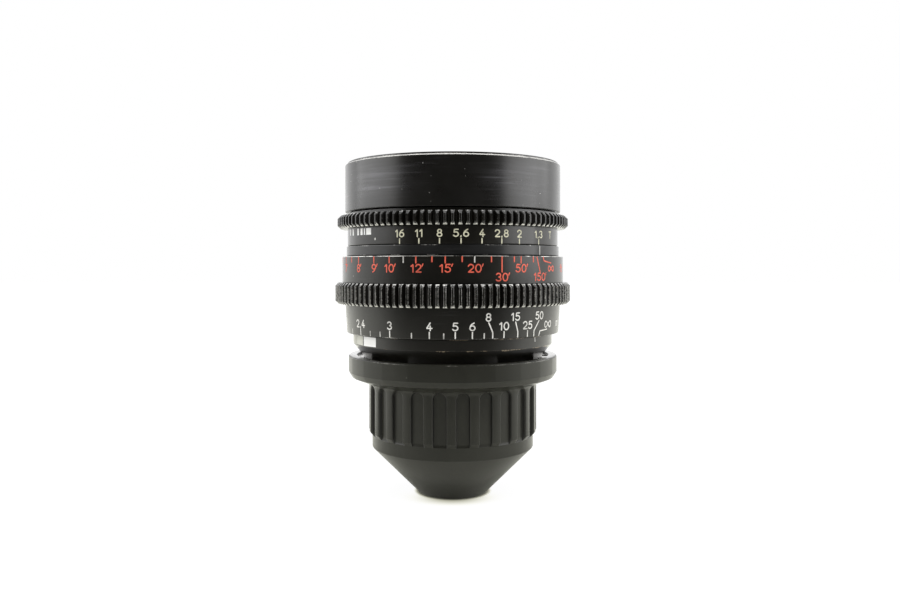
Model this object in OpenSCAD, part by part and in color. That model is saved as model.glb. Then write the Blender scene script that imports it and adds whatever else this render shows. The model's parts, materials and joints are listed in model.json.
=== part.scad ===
// Cinema prime lens standing on its rear cap, front element up.
// Millimetres. +Z runs along the optical axis towards the front. The origin is the centre of the cap's foot.
// The photographed setting is infinity and the widest stop. Azimuth 270 degrees faces the viewer.
// Radii are chained outwards from the rear glass by walls and clearances, and heights upwards from the foot.

/* [Rear cap] */
// Radius of the flat foot
cap_foot_r = 12.6; // [8:0.1:18]
// Radial room round the spigot inside the cap
cap_spigot_gap = 1.2; // [0.6:0.1:3]
// Wall of the bell at the flute floors
cap_bell_wall = 1.75; // [1.2:0.05:4]
// Height of the grip ribs over the flute floors
cap_rib_d = 1.55; // [0.8:0.05:2.2]
// Wall of the rim round the socket
cap_rim_wall = 3.15; // [2:0.05:6]
// Height of the plain band above the cone
cap_band_h = 3.2; // [1:0.1:6]
// Height of the ribs' straight part
cap_rib_h = 17.3; // [14:0.1:24]
// Height of the blend from the ribs to the rim
cap_blend_h = 5.2; // [4.4:0.1:8]
// Radius of the hollow where the ribs meet the blend
cap_hollow_r = 1.55; // [0.8:0.05:2]
// Radius of the rim's lower edge
cap_round_r = 2.1; // [1:0.05:2.4]
// Slope of the blend under the rim, in degrees
cap_blend_slope = 24; // [15:1:30]
// Height of the rim
cap_rim_h = 6.65; // [5.4:0.05:10]
// Depth of the socket that the mount flange sits in
cap_socket_h = 3.85; // [3.2:0.05:4.8]
// Wall of the cone
cap_wall = 2.5; // [1.6:0.1:4]
// Thickness of the floor
cap_floor = 3; // [2:0.1:5]
// Number of flutes round the grip
flute_n = 24; // [12:1:28]
// Width of one flute
flute_w = 4.7; // [3:0.1:5.2]
// How far the round heads of the flutes run up into the blend
flute_reach = 1.3; // [0:0.1:2]

/* [Mount] */
// Radial room between the rear cell and the spigot
spigot_gap = 1.2; // [0.6:0.1:3]
// Wall of the spigot that enters the camera
spigot_wall = 2.4; // [1.4:0.1:4]
// Length of the spigot behind the flange face
spigot_len = 10; // [6:0.1:14]
// Thickness of the flange and its tabs
flange_t = 3; // [2.4:0.1:4]
// Width of the flange round the spigot
flange_lip = 4.4; // [4:0.1:6]
// Reach of the four tabs beyond the flange
tab_reach = 4.1; // [2.6:0.1:7]
// Angle that one tab spans
tab_angle = 56; // [40:1:64]
// Width of the locating notch
notch_w = 4; // [3:0.1:6]
// Depth of the locating notch
notch_d = 2.2; // [1:0.1:2.5]
// Shank radius of a flange screw
mount_screw_r = 1; // [0.7:0.05:1.2]
// Head radius of a flange screw
mount_head_r = 1.9; // [1.6:0.05:1.95]
// Depth of the flange screws in the base barrel
mount_screw_depth = 4; // [2:0.1:5]

/* [Base barrel] */
// Step from the flange out to the foot of the neck cone
neck_lip = 2; // [0.1:0.1:3]
// Height of the neck cone
neck_h = 4.6; // [2:0.1:6]
// Height of the bevel between neck and band
bevel_h = 0.5; // [0.3:0.1:3]
// Width of the bevel between neck and band
bevel_w = 0.9; // [0.6:0.1:2.4]
// How far the plain band stands out from the sleeve
band_lip = 1.9; // [1:0.1:3]
// Height of the plain band
band_h = 3.9; // [3:0.1:8]
// Thickness of the web behind the flange
web_t = 6.1; // [5.4:0.1:7]
// Wall of the threaded nose that takes the retaining ring
nose_wall = 2.35; // [1.6:0.05:4]
// Step from the nose out to the sleeve that the focus ring turns on
sleeve_step = 1.5; // [0.8:0.1:3]
// Thickness of the focus retaining ring
retainer_t = 2.7; // [1.8:0.1:3.4]
// How far the retaining ring reaches out over the sleeve
retainer_lip = 1.4; // [0.8:0.1:2.4]
// Wall of the lens block left behind a guide key
key_floor = 1; // [0.5:0.1:1.8]
// Width of a guide key
key_w = 5; // [3.4:0.1:8]
// Length of a guide key
key_len = 9; // [7:0.1:11]
// Shank radius of a key screw
key_screw_r = 0.8; // [0.5:0.05:1]
// Head radius of a key screw
key_head_r = 1.5; // [1.2:0.05:1.8]
// Height of a key screw's head
key_head_h = 1.5; // [0.8:0.1:2]

/* [Focus ring] */
// Step from the retaining ring's pocket out to the bore for the helicoid nut
nut_step = 1.45; // [0.8:0.05:3]
// Wall of the focus ring under its gear
focus_wall = 1.75; // [1.2:0.05:4]
// How far the metre scale draws in towards its bottom edge
focus_taper = 0.6; // [0:0.1:1.2]
// Height of the metre scale
focus_low_h = 10.6; // [9:0.1:13]
// How far the foot scale stands out over the gear's seat
focus_shoulder = 1.1; // [0.6:0.1:1.6]
// Height of the foot scale
focus_up_h = 9.5; // [8.6:0.1:12]
// Length of the land that turns on the sleeve
focus_land_h = 12; // [8:0.1:12.4]
// Wall of the helicoid nut's tube
nut_wall = 4.25; // [2:0.05:5.2]
// Thickness of the helicoid nut's flange
nut_flange_t = 1.8; // [1.4:0.1:2.2]
// Radius of the set screws that hold the helicoid nut
nut_screw_r = 0.5; // [0.4:0.05:0.6]
// Depth of those set screws in the nut
nut_screw_depth = 1.2; // [0.6:0.1:2]
// Number of those set screws
nut_screw_n = 3; // [2:1:6]

/* [Gears] */
// Module of both gears
gear_module = 0.8; // [0.5:0.1:1]
// Rim of the focus gear under its teeth
focus_rim = 1.9; // [1.4:0.05:4]
// Width of the focus gear
focus_gear_w = 7.7; // [6:0.1:9]
// Rim of the iris gear under its teeth
iris_rim = 2.8; // [1.4:0.05:4]
// Width of the iris gear
iris_gear_w = 4.7; // [3.6:0.1:6]
// Bevel on the ends of the teeth
tooth_bevel = 1.1; // [0.4:0.05:1.4]
// Pressure angle of the teeth
pressure_angle = 20; // [14.5:0.5:25]

/* [Index band and iris ring] */
// Wall of the index band's skirt inside the focus ring
skirt_wall = 0.83; // [0.6:0.01:2]
// How far the index band stands out from its skirt
index_lip = 1.6; // [0.8:0.05:3]
// Height of the index band
index_h = 3.5; // [2.5:0.1:5]
// Wall of the iris ring under its gear
iris_wall = 2.15; // [1.4:0.05:3]
// How far the T-stop scale stands out from the gear's seat
iris_step = 0.85; // [0.4:0.05:1.6]
// Height of the T-stop scale
iris_scale_h = 6.3; // [5.4:0.1:8]
// Height of the dark recess under the front barrel
recess_h = 1.4; // [0.8:0.1:2.4]
// Radius of the drive pin
drive_pin_r = 0.7; // [0.5:0.05:0.75]
// Depth of the drive pin in the cam ring
drive_pin_hold = 1.5; // [0.8:0.1:3]
// Azimuth of the drive pin at the widest stop
drive_azimuth = 60; // [0:1:180]
// Spare turn at each end of the drive pin's slot, in degrees
slot_spare = 3; // [2:0.5:8]

/* [Lens block] */
// Wall of the threaded lower tube
block_low_wall = 3.1; // [2.6:0.05:5]
// Wall of the upper tube
block_up_wall = 1.7; // [1:0.05:2.4]
// How far the block's lip reaches out under the index band
block_lip = 1; // [0.6:0.1:2]
// Thickness of the flange between the tubes
block_flange_t = 1.4; // [1:0.1:2]
// How far that flange reaches in from the lower tube
block_flange_in = 2.8; // [1.4:0.1:4]
// Height of the upper tube inside the front barrel
block_nose_h = 4.3; // [3:0.1:5]
// Room between the base barrel's web and the lens block at infinity
block_float = 1.5; // [0.5:0.1:3]

/* [Iris] */
// Number of blades
blade_n = 7; // [6:1:7]
// Thickness of a blade
blade_t = 0.06; // [0.04:0.01:0.07]
// Radius of the opening in the iris housing
stop_r = 21.6; // [20.4:0.1:22.2]
// Radius of a blade's round ends
blade_end_r = 3.5; // [2.6:0.05:4]
// Angle between a blade's pivot and its drive pin, about the optical axis
blade_span = 140; // [130:1:146]
// Rise of a blade per millimetre from its pivot towards its drive pin
blade_slope = 0.08; // [0.07:0.005:0.09]
// Radius of the pins on the blades
blade_pin_r = 0.7; // [0.5:0.05:0.8]
// Wall of the housing round the blades
housing_wall = 0.95; // [0.8:0.05:2]
// Thickness of the housing's floor
housing_floor = 1.3; // [1:0.1:1.6]
// Thickness of the cam ring
cam_t = 1.6; // [1.5:0.1:2]
// Radial width of the cam ring's bearing on the housing wall
cam_land = 0.7; // [0.4:0.05:0.75]
// Thickness of the iris retaining ring
iris_ring_t = 1.2; // [0.8:0.1:1.6]
// How far the iris retaining ring reaches in over the cam ring
iris_ring_w = 2.8; // [1.4:0.1:4]
// How far the iris ring turns from the widest stop to the smallest
iris_turn = 76.7; // [40:0.1:77]

/* [Front barrel] */
// How far the front cell's collar reaches out over the lens block
collar_lip = 0.4; // [0.2:0.1:2]
// Wall of the front cell round the front element
collar_wall = 1.88; // [1:0.01:3]
// Wall of the front cell round the second and third elements
mid_wall = 4.73; // [3.6:0.01:7]
// Thickness of the front cell's lip under the third element
cell_lip_t = 0.7; // [0.5:0.1:1.4]
// How far the front cell stands above the front element
cell_cover = 0.8; // [0.2:0.1:1.4]
// Step from the collar out to the front bore
bore_step = 0.78; // [0.2:0.01:2]
// Height of that step
bore_step_h = 1.2; // [0.4:0.1:1.6]
// Wall of the front barrel ahead of the cell, which makes it 80 mm across for clamp-on accessories
front_wall = 2.8; // [2:0.1:5]
// Height of the front barrel
front_h = 18.1; // [18:0.1:26]
// Bevel on the front edge
front_bevel = 0.9; // [0.6:0.1:1.5]

/* [Optics] */
// Curvature of the front element
front_glass_curve = 110; // [95:1:140]
// Edge thickness of the front element
front_glass_edge = 1.6; // [1:0.1:2.2]
// Curvature of the second element
second_curve = 62; // [58:1:80]
// Edge thickness of the second element
second_edge = 1.45; // [1:0.05:1.8]
// Curvature of the third element's hollow face
third_curve = 130; // [110:1:180]
// Flat rim round the third element's hollow face
third_rim = 3.5; // [2.5:0.1:6]
// Edge thickness of the third element
third_edge = 3.7; // [3.4:0.1:4.2]
// Radius of the fourth and fifth elements, which are cemented
rear_glass_r = 25; // [23:0.1:28]
// Curvature of the fourth element's hollow face
fourth_curve = 60; // [50:1:90]
// Flat rim round the fourth element's hollow face
fourth_rim = 2.5; // [1.8:0.1:6]
// Edge thickness of the fourth element
fourth_edge = 6.2; // [5.6:0.1:7]
// Curvature of the fifth element
fifth_curve = 55; // [50:1:80]
// Edge thickness of the fifth element
fifth_edge = 1.8; // [1:0.1:2.4]
// How much smaller the sixth element's radius is than the fifth's
sixth_step = 1; // [0.6:0.1:3]
// Curvature of the sixth element's front face
sixth_front_curve = 120; // [100:1:160]
// Curvature of the sixth element's rear face
sixth_rear_curve = 80; // [70:1:120]
// Edge thickness of the sixth element
sixth_edge = 2; // [1.2:0.1:2.6]
// Radius of the rear element
last_glass_r = 21.5; // [19:0.1:23.5]
// Curvature of the rear element's front face
last_front_curve = 70; // [60:1:100]
// Curvature of the rear element's rear face
last_rear_curve = 200; // [150:1:300]
// Edge thickness of the rear element
last_edge = 2.4; // [1.4:0.1:3.4]
// Radial width of the seats and retaining rings on the glass
glass_seat = 1.4; // [1:0.1:1.6]
// Thickness of the lens retaining rings
ring_t = 2; // [1.4:0.1:2.4]
// Width of the spanner slots in the retaining rings
spanner_w = 1.6; // [1:0.1:3]
// Air between two elements at their nearest
air_gap = 0.4; // [0.2:0.1:0.8]
// Wall of the rear cell round the fourth and fifth elements
rear_cell_wall = 2.93; // [2:0.01:5]
// Wall of the rear cell round the rear element
rear_tube_wall = 1.88; // [1:0.01:2.6]
// How far the rear cell sits inside the end of the spigot
rear_cell_inset = 0.6; // [0.2:0.1:2]
// How far the rear retaining ring sits inside the rear cell
rear_ring_inset = 1.4; // [0.4:0.1:2]
// Step from the rear retaining ring in to the light baffle
baffle_step = 0.6; // [0.2:0.1:3]

/* [Fits] */
// Radial clearance of faces that run on each other
run_clear = 0.05; // [0.02:0.01:0.08]
// Radial clearance of pieces that are fixed together
seat_clear = 0.02; // [0.01:0.01:0.03]
// Gap between rings that turn past each other
face_gap = 0.2; // [0.1:0.05:0.3]
// Room round moving pieces that never touch
free_gap = 0.3; // [0.2:0.05:0.35]
// Broken edge on the turned rings
edge = 0.25; // [0.1:0.05:0.4]

/* [Hidden] */
$fn = 120;
glass_fn = 240;
over = 1;

// Radii of the rear element, the mount and the cap, from the glass outwards
rear_tube_r = last_glass_r + seat_clear + rear_tube_wall;
last_ring_r = last_glass_r - glass_seat;
baffle_r = last_ring_r - baffle_step;
spigot_bore = rear_tube_r + spigot_gap;
spigot_r = spigot_bore + spigot_wall;
flange_r = spigot_r + flange_lip;
tab_r = flange_r + tab_reach;
mount_screw_circle_r = (spigot_r + flange_r) / 2;
cap_bore = spigot_r + cap_spigot_gap;
cap_bell_r = cap_bore + cap_bell_wall;
cap_rib_r = cap_bell_r + cap_rib_d;
cap_socket_r = tab_r + run_clear;
cap_rim_r = cap_socket_r + cap_rim_wall;

// Radii of the rear group, the base barrel and the focus ring
sixth_glass_r = rear_glass_r - sixth_step;
spacer_in_r = sixth_glass_r - glass_seat;
rear_cell_r = rear_glass_r + seat_clear + rear_cell_wall;
block_low_bore = rear_cell_r + run_clear;
block_low_r = block_low_bore + block_low_wall;
flange_bore = block_low_bore - block_flange_in;
barrel_bore = block_low_r + run_clear;
web_bore = spigot_bore + free_gap;
key_slot_r = block_low_bore + key_floor;
key_in_r = key_slot_r + free_gap;
nose_r = barrel_bore + nose_wall;
sleeve_r = nose_r + sleeve_step;
band_r = sleeve_r + band_lip;
neck_top_r = band_r - bevel_w;
neck_low_r = flange_r + neck_lip;
retainer_r = sleeve_r + retainer_lip;
focus_pocket_r = retainer_r + free_gap;
focus_bore_r = focus_pocket_r + nut_step;
focus_seat_r = focus_bore_r + focus_wall;
focus_low_r = focus_seat_r - focus_taper;
focus_up_r = focus_seat_r + focus_shoulder;
nut_r = barrel_bore + nut_wall;
nut_flange_r = focus_bore_r - seat_clear;

// Radii of the lens block's upper tube and of what it carries
skirt_r = focus_bore_r - free_gap;
index_r = skirt_r + index_lip;
block_lip_r = skirt_r - skirt_wall - seat_clear;
block_up_r = block_lip_r - block_lip;
block_up_bore = block_up_r - block_up_wall;
iris_bore = block_up_r + run_clear;
iris_seat_r = iris_bore + iris_wall;
iris_r = iris_seat_r + iris_step;
housing_r = block_up_bore - run_clear;
housing_in_r = housing_r - housing_wall;
cam_r = housing_in_r + cam_land;
blade_out_r = housing_in_r - free_gap;
blade_in_r = stop_r + free_gap;
pivot_r = blade_out_r - blade_end_r;
mid_glass_r = housing_r - mid_wall - seat_clear;
mid_ring_r = mid_glass_r - glass_seat;
cell_collar_r = block_up_r + collar_lip;
front_glass_r = cell_collar_r - collar_wall - seat_clear;
front_ring_r = front_glass_r - glass_seat;
front_bore = cell_collar_r + seat_clear + bore_step;
front_r = front_bore + front_wall;

// Gears: a tooth stands 1 module over the pitch circle and goes 1.25 modules below it
addendum = 1;
dedendum = 1.25;
function teeth_on(rim_r) = round(2 * (rim_r / gear_module + dedendum));
focus_teeth = teeth_on(focus_seat_r + focus_rim);
iris_teeth = teeth_on(iris_seat_r + iris_rim);

// Heights, counted up from the foot
cap_cone_z = cap_bell_r - cap_foot_r;
cap_band_z = cap_cone_z + cap_band_h;
cap_rib_z = cap_band_z + cap_rib_d;
cap_blend_z = cap_rib_z + cap_rib_h;
cap_rim_z = cap_blend_z + cap_blend_h;
cap_top_z = cap_rim_z + cap_rim_h;
seat_z = cap_top_z - cap_socket_h;
spigot_z = seat_z - spigot_len;
flange_top_z = seat_z + flange_t;
neck_z = flange_top_z + neck_h;
band_z = neck_z + bevel_h;
band_top_z = band_z + band_h;
web_z = flange_top_z + web_t;
focus_z = band_top_z + face_gap;
focus_gear_z = focus_z + focus_low_h;
focus_up_z = focus_gear_z + focus_gear_w;
focus_top_z = focus_up_z + focus_up_h;
land_z = focus_z + focus_land_h;
nose_z = land_z + face_gap / 2;
nose_top_z = nose_z + retainer_t;
nut_z = nose_top_z + face_gap;
index_z = focus_top_z + face_gap;
index_top_z = index_z + index_h;
skirt_z = nut_z + nut_flange_t + free_gap;
iris_z = index_top_z + face_gap;
iris_gear_z = iris_z + iris_scale_h;
front_z = iris_gear_z + iris_gear_w + recess_h;
front_top_z = front_z + front_h;
block_z = web_z + block_float;
block_flange_z = index_z - block_flange_t;
block_top_z = front_z + block_nose_h;
key_z = nose_top_z - key_len - free_gap;
key_screw_z = (key_z + nose_z) / 2;
nut_screw_z = nut_z + nut_flange_t / 2;

// Rise of a spherical face from its rim to its vertex
function sag(curve, r) = curve - sqrt(curve * curve - r * r);

// Iris
blade_chord = 2 * pivot_r * sin(blade_span / 2);
blade_room = blade_slope * blade_end_r + blade_t + face_gap;
housing_top_z = index_z + housing_floor;
blade_z = housing_top_z + blade_room;
cam_z = blade_z + blade_slope * blade_chord + blade_room;
cam_top_z = cam_z + cam_t;
iris_ring_z = cam_top_z + run_clear;
iris_ring_top_z = iris_ring_z + iris_ring_t;
drive_z = cam_z + cam_t / 2;
// Swing that carries a blade's drive pin through the whole turn of the cam ring
blade_swing =
    blade_span / 2 + iris_turn - acos(sin(blade_span + iris_turn) / (2 * sin(blade_span / 2)));
// Place of a drive pin after its blade has swung by s degrees
function pin_x(s) = pivot_r * cos(blade_span / 2) - blade_chord * sin(s);
function pin_y(s) = -pivot_r * sin(blade_span / 2) + blade_chord * cos(s);
function pin_radius(s) = norm([pin_x(s), pin_y(s)]);
// How far the pin strays sideways from a straight radial slot in the cam ring
function pin_stray(s) =
    pin_radius(s) * abs(sin(atan2(pin_y(s), pin_x(s)) - blade_span / 2 - s * iris_turn / blade_swing));
swing_steps = [for (i = [0:20]) blade_swing * i / 20];
slot_in_r = min([for (s = swing_steps) pin_radius(s)]);
slot_out_r = max([for (s = swing_steps) pin_radius(s)]);
slot_half_w = max([for (s = swing_steps) pin_stray(s)]) + blade_pin_r + 2 * run_clear;

// Front group, counted up from the iris
cell_z = iris_ring_top_z + run_clear;
third_z = cell_z + cell_lip_t;
second_z = third_z + third_edge + seat_clear;
second_top_z = second_z + second_edge + sag(second_curve, mid_glass_r);
front_glass_z = second_top_z + air_gap;
front_glass_top_z = front_glass_z + front_glass_edge + sag(front_glass_curve, front_glass_r);
cell_top_z = front_glass_top_z + cell_cover;
mid_ring_z = second_top_z - sag(second_curve, mid_ring_r) + seat_clear;
front_ring_z = front_glass_top_z - sag(front_glass_curve, front_ring_r) + seat_clear;
third_hollow_r = mid_glass_r - third_rim;

// Rear group, counted down from the lens block's flange
fourth_hollow_r = rear_glass_r - fourth_rim;
fourth_top_z = block_flange_z - ring_t - seat_clear;
fourth_z = fourth_top_z - fourth_edge;
fifth_top_z = fourth_z - seat_clear;
fifth_rim_z = fifth_top_z - fifth_edge;
fifth_z = fifth_rim_z - sag(fifth_curve, rear_glass_r);
sixth_top_z = fifth_z - air_gap;
sixth_rim_top_z = sixth_top_z - sag(sixth_front_curve, sixth_glass_r);
sixth_rim_z = sixth_rim_top_z - sixth_edge;
sixth_z = sixth_rim_z - sag(sixth_rear_curve, sixth_glass_r);
fifth_seat_z = fifth_z + sag(fifth_curve, sixth_glass_r) - seat_clear;
spacer_z = sixth_top_z - sag(sixth_front_curve, spacer_in_r) + seat_clear;
spacer_top_z = fifth_z + sag(fifth_curve, spacer_in_r) - seat_clear;
sixth_seat_z = sixth_z + sag(sixth_rear_curve, spacer_in_r) - seat_clear;
rear_cell_z = spigot_z + rear_cell_inset;
last_ring_z = rear_cell_z + rear_ring_inset;
last_z = last_ring_z + ring_t + seat_clear - sag(last_rear_curve, last_ring_r);
last_rim_z = last_z + sag(last_rear_curve, last_glass_r);
last_rim_top_z = last_rim_z + last_edge;
last_top_z = last_rim_top_z + sag(last_front_curve, last_glass_r);
last_seat_z = last_top_z - sag(last_front_curve, last_ring_r) + seat_clear;
rear_step_z = block_z + 2 * free_gap;

mount_screw_angles = [45, 135, 225, 315];
mount_head_h = mount_head_r - mount_screw_r;
key_angles = [0, 180];

BLADES = [for (i = [1:blade_n]) str("iris_blade_", i)];

// Shared shapes

// Solid turned from a half section of radius and height pairs
module turned(points) {
    rotate_extrude() polygon(points);
}

// Plain ring between two heights
module tube(r_out, r_in, z0, z1) {
    turned([[r_in, z0], [r_out, z0], [r_out, z1], [r_in, z1]]);
}

// Upright rod between two heights
module rod(r, z0, z1) {
    translate([0, 0, z0]) cylinder(r = r, h = z1 - z0);
}

// Points of an arc, the angles counted from +X
function arc(cx, cy, r, from, to, steps = 8) =
    [for (i = [0:steps]) let (a = from + (to - from) * i / steps) [cx + r * cos(a), cy + r * sin(a)]];

// Rod along a radius at one azimuth and height
module radial_rod(r, azimuth, z, r0, r1) {
    rotate([0, 0, azimuth]) translate([r0, 0, z]) rotate([0, 90, 0]) cylinder(r = r, h = r1 - r0);
}

// Spherical cap whose vertex points up, cut to a lens of radius r
module dome_up(curve, r, vertex_z, depth) {
    intersection() {
        translate([0, 0, vertex_z - curve]) sphere(r = curve, $fn = glass_fn);
        rod(r, vertex_z - depth, vertex_z + over);
    }
}

// Spherical cap whose vertex points down
module dome_down(curve, r, vertex_z, depth) {
    intersection() {
        translate([0, 0, vertex_z + curve]) sphere(r = curve, $fn = glass_fn);
        rod(r, vertex_z - over, vertex_z + depth);
    }
}

// Retaining ring with two spanner slots in one face
module spanner_ring(r_out, r_in, z0, z1, slots_up) {
    slot_d = (z1 - z0) / 2;
    difference() {
        tube(r_out, r_in, z0, z1);
        translate([0, 0, slots_up ? z1 - slot_d : z0 - slot_d])
            translate([-r_out - over, -spanner_w / 2, 0])
                cube([2 * (r_out + over), spanner_w, 2 * slot_d]);
    }
}

// Rear cap

module rear_cap() {
    in_foot_r = cap_floor + cap_foot_r - cap_wall * sqrt(2);
    hollow = arc(cap_rib_r + cap_hollow_r, cap_blend_z, cap_hollow_r, 180, 90 + cap_blend_slope);
    shoulder = arc(cap_rim_r - cap_round_r, cap_rim_z, cap_round_r, cap_blend_slope - 90, 0);
    color("#3a3a36") difference() {
        turned(concat(
            [[0, 0], [cap_foot_r, 0], [cap_bell_r, cap_cone_z]],
            [[cap_bell_r, cap_band_z], [cap_rib_r, cap_rib_z]],
            hollow,
            shoulder,
            [[cap_rim_r, cap_top_z - 2 * edge], [cap_rim_r - 2 * edge, cap_top_z]],
            [[cap_socket_r, cap_top_z]],
            [[cap_socket_r, seat_z], [cap_bore, seat_z], [cap_bore, cap_bore - in_foot_r + cap_floor]],
            [[in_foot_r, cap_floor], [0, cap_floor]]
        ));
        flutes();
    }
}

// Upright flutes with round heads, cut down to the bell's radius
module flutes() {
    head_z = cap_blend_z + flute_reach - flute_w / 2;
    foot_z = cap_band_z - edge;
    intersection() {
        tube(cap_rim_r, cap_bell_r, cap_cone_z, cap_rim_z);
        for (i = [0:flute_n - 1])
            rotate([0, 0, 270 + (i + 0.5) * 360 / flute_n])
                translate([cap_bell_r - over, 0, 0])
                    rotate([90, 0, 90])
                        linear_extrude(cap_rim_r - cap_bell_r + 2 * over) {
                            translate([-flute_w / 2, foot_z]) square([flute_w, head_z - foot_z]);
                            translate([0, head_z]) circle(d = flute_w);
                        }
    }
}

// Mount and base barrel

module mount_flange() {
    color("#c9c9c6") difference() {
        union() {
            turned([
                [spigot_bore, spigot_z], [spigot_r - 2 * edge, spigot_z], [spigot_r, spigot_z + 2 * edge],
                [spigot_r, seat_z], [flange_r, seat_z], [flange_r, flange_top_z], [spigot_bore, flange_top_z]
            ]);
            for (i = [0:3])
                rotate([0, 0, 90 * i - tab_angle / 2])
                    rotate_extrude(angle = tab_angle)
                        translate([spigot_r, seat_z]) square([tab_r - spigot_r, flange_t]);
        }
        translate([tab_r - notch_d, -notch_w / 2, seat_z - over])
            cube([notch_d + over, notch_w, flange_t + 2 * over]);
        for (a = mount_screw_angles)
            rotate([0, 0, a]) translate([mount_screw_circle_r, 0, 0]) mount_screw_shape(seat_clear);
    }
}

// One flange screw with a countersunk head, grown by the given clearance
module mount_screw_shape(grow) {
    head_z = seat_z + seat_clear - (grow > 0 ? over : 0);
    straight_z = seat_z + 2 * seat_clear;
    turned([
        [0, head_z], [mount_head_r + grow, head_z], [mount_head_r + grow, straight_z],
        [mount_screw_r + grow, straight_z + mount_head_h],
        [mount_screw_r + grow, flange_top_z + mount_screw_depth + grow],
        [0, flange_top_z + mount_screw_depth + grow]
    ]);
}

module mount_screws() {
    color("#8f8f8c")
        for (a = mount_screw_angles)
            rotate([0, 0, a]) translate([mount_screw_circle_r, 0, 0]) mount_screw_shape(0);
}

module mount_barrel() {
    color("#1d1c1a") difference() {
        turned([
            [web_bore, flange_top_z], [neck_low_r, flange_top_z], [neck_top_r, neck_z], [band_r, band_z],
            [band_r, band_top_z - edge], [band_r - edge, band_top_z], [sleeve_r, band_top_z],
            [sleeve_r, nose_z], [nose_r, nose_z], [nose_r, nose_top_z], [barrel_bore, nose_top_z],
            [barrel_bore, web_z], [web_bore, web_z]
        ]);
        for (a = mount_screw_angles)
            rotate([0, 0, a]) translate([mount_screw_circle_r, 0, 0]) mount_screw_shape(seat_clear);
        for (a = key_angles)
            key_screw_shape(a, seat_clear);
    }
}

// One key screw, its head just below the sleeve, grown by the given clearance
module key_screw_shape(azimuth, grow) {
    head_r = sleeve_r - free_gap;
    neck_r = head_r - key_head_h;
    mouth = grow > 0 ? over : 0;
    radial_rod(key_screw_r + grow, azimuth, key_screw_z, key_in_r + free_gap - grow, neck_r + key_head_h / 2);
    radial_rod(key_head_r + grow, azimuth, key_screw_z, neck_r - grow, head_r + mouth);
}

module key_screws() {
    color("#8f8f8c")
        for (a = key_angles)
            key_screw_shape(a, 0);
}

module guide_keys() {
    color("#b9975b") difference() {
        for (a = key_angles)
            rotate([0, 0, a]) intersection() {
                tube(barrel_bore - seat_clear, key_in_r, key_z, key_z + key_len);
                translate([0, -key_w / 2, key_z - over]) cube([band_r, key_w, key_len + 2 * over]);
            }
        for (a = key_angles)
            key_screw_shape(a, seat_clear);
    }
}

module focus_retainer() {
    color("#2a2927")
        spanner_ring(retainer_r, nose_r + seat_clear, nose_z, nose_top_z, true);
}

// Focus ring

module focus_ring() {
    land_r = sleeve_r + run_clear;
    color("#1d1c1a") difference() {
        turned([
            [land_r, focus_z], [focus_low_r - edge, focus_z], [focus_low_r, focus_z + edge],
            [focus_seat_r, focus_gear_z], [focus_seat_r, focus_up_z], [focus_up_r - edge, focus_up_z],
            [focus_up_r, focus_up_z + edge], [focus_up_r, focus_top_z - edge],
            [focus_up_r - edge, focus_top_z], [focus_bore_r, focus_top_z], [focus_bore_r, nut_z],
            [focus_pocket_r, nut_z], [focus_pocket_r, land_z], [land_r, land_z]
        ]);
        nut_screw_shapes(seat_clear);
    }
}

// Radial set screws from under the gear into the nut's flange
module nut_screw_shapes(grow) {
    for (i = [0:nut_screw_n - 1])
        radial_rod(
            nut_screw_r + grow, 90 + i * 360 / nut_screw_n, nut_screw_z,
            nut_flange_r - nut_screw_depth - grow, focus_seat_r - edge + (grow > 0 ? over : 0)
        );
}

module nut_screws() {
    color("#8f8f8c") nut_screw_shapes(0);
}

module helicoid_nut() {
    nut_top_z = block_flange_z - face_gap;
    color("#b5924c") difference() {
        turned([
            [barrel_bore, nut_z], [nut_flange_r, nut_z], [nut_flange_r, nut_z + nut_flange_t],
            [nut_r, nut_z + nut_flange_t], [nut_r, nut_top_z], [barrel_bore, nut_top_z]
        ]);
        nut_screw_shapes(seat_clear);
    }
}

// Gears

function tip_radius(teeth) = gear_module * (teeth / 2 + addendum);
function root_radius(teeth) = gear_module * (teeth / 2 - dedendum);
// Half the angle that a tooth fills at radius r, from straight flanks at the pressure angle
function half_tooth(teeth, r) =
    let (pitch_r = gear_module * teeth / 2)
    (gear_module * PI / 4 - (r - pitch_r) * tan(pressure_angle)) / r * 180 / PI;

// Toothed ring with bevelled tooth ends
module toothed_ring(teeth, bore_r, z0, width) {
    tip_r = tip_radius(teeth);
    root_r = root_radius(teeth);
    root_a = half_tooth(teeth, root_r);
    tip_a = half_tooth(teeth, tip_r);
    corners = [[root_r, -root_a], [tip_r, -tip_a], [tip_r, tip_a], [root_r, root_a]];
    intersection() {
        translate([0, 0, z0]) linear_extrude(width) difference() {
            polygon([
                for (i = [0:teeth - 1], c = corners)
                    let (a = 270 + i * 360 / teeth + c[1]) [c[0] * cos(a), c[0] * sin(a)]
            ]);
            circle(r = bore_r);
        }
        turned([
            [0, z0 - over], [tip_r - tooth_bevel - over, z0 - over], [tip_r + edge, z0 + tooth_bevel + edge],
            [tip_r + edge, z0 + width - tooth_bevel - edge],
            [tip_r - tooth_bevel - over, z0 + width + over], [0, z0 + width + over]
        ]);
    }
}

module focus_gear() {
    color("#211f1d") toothed_ring(focus_teeth, focus_seat_r + seat_clear, focus_gear_z, focus_gear_w);
}

module iris_gear() {
    color("#211f1d") toothed_ring(iris_teeth, iris_seat_r + seat_clear, iris_gear_z, iris_gear_w);
}

// Lens block

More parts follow.
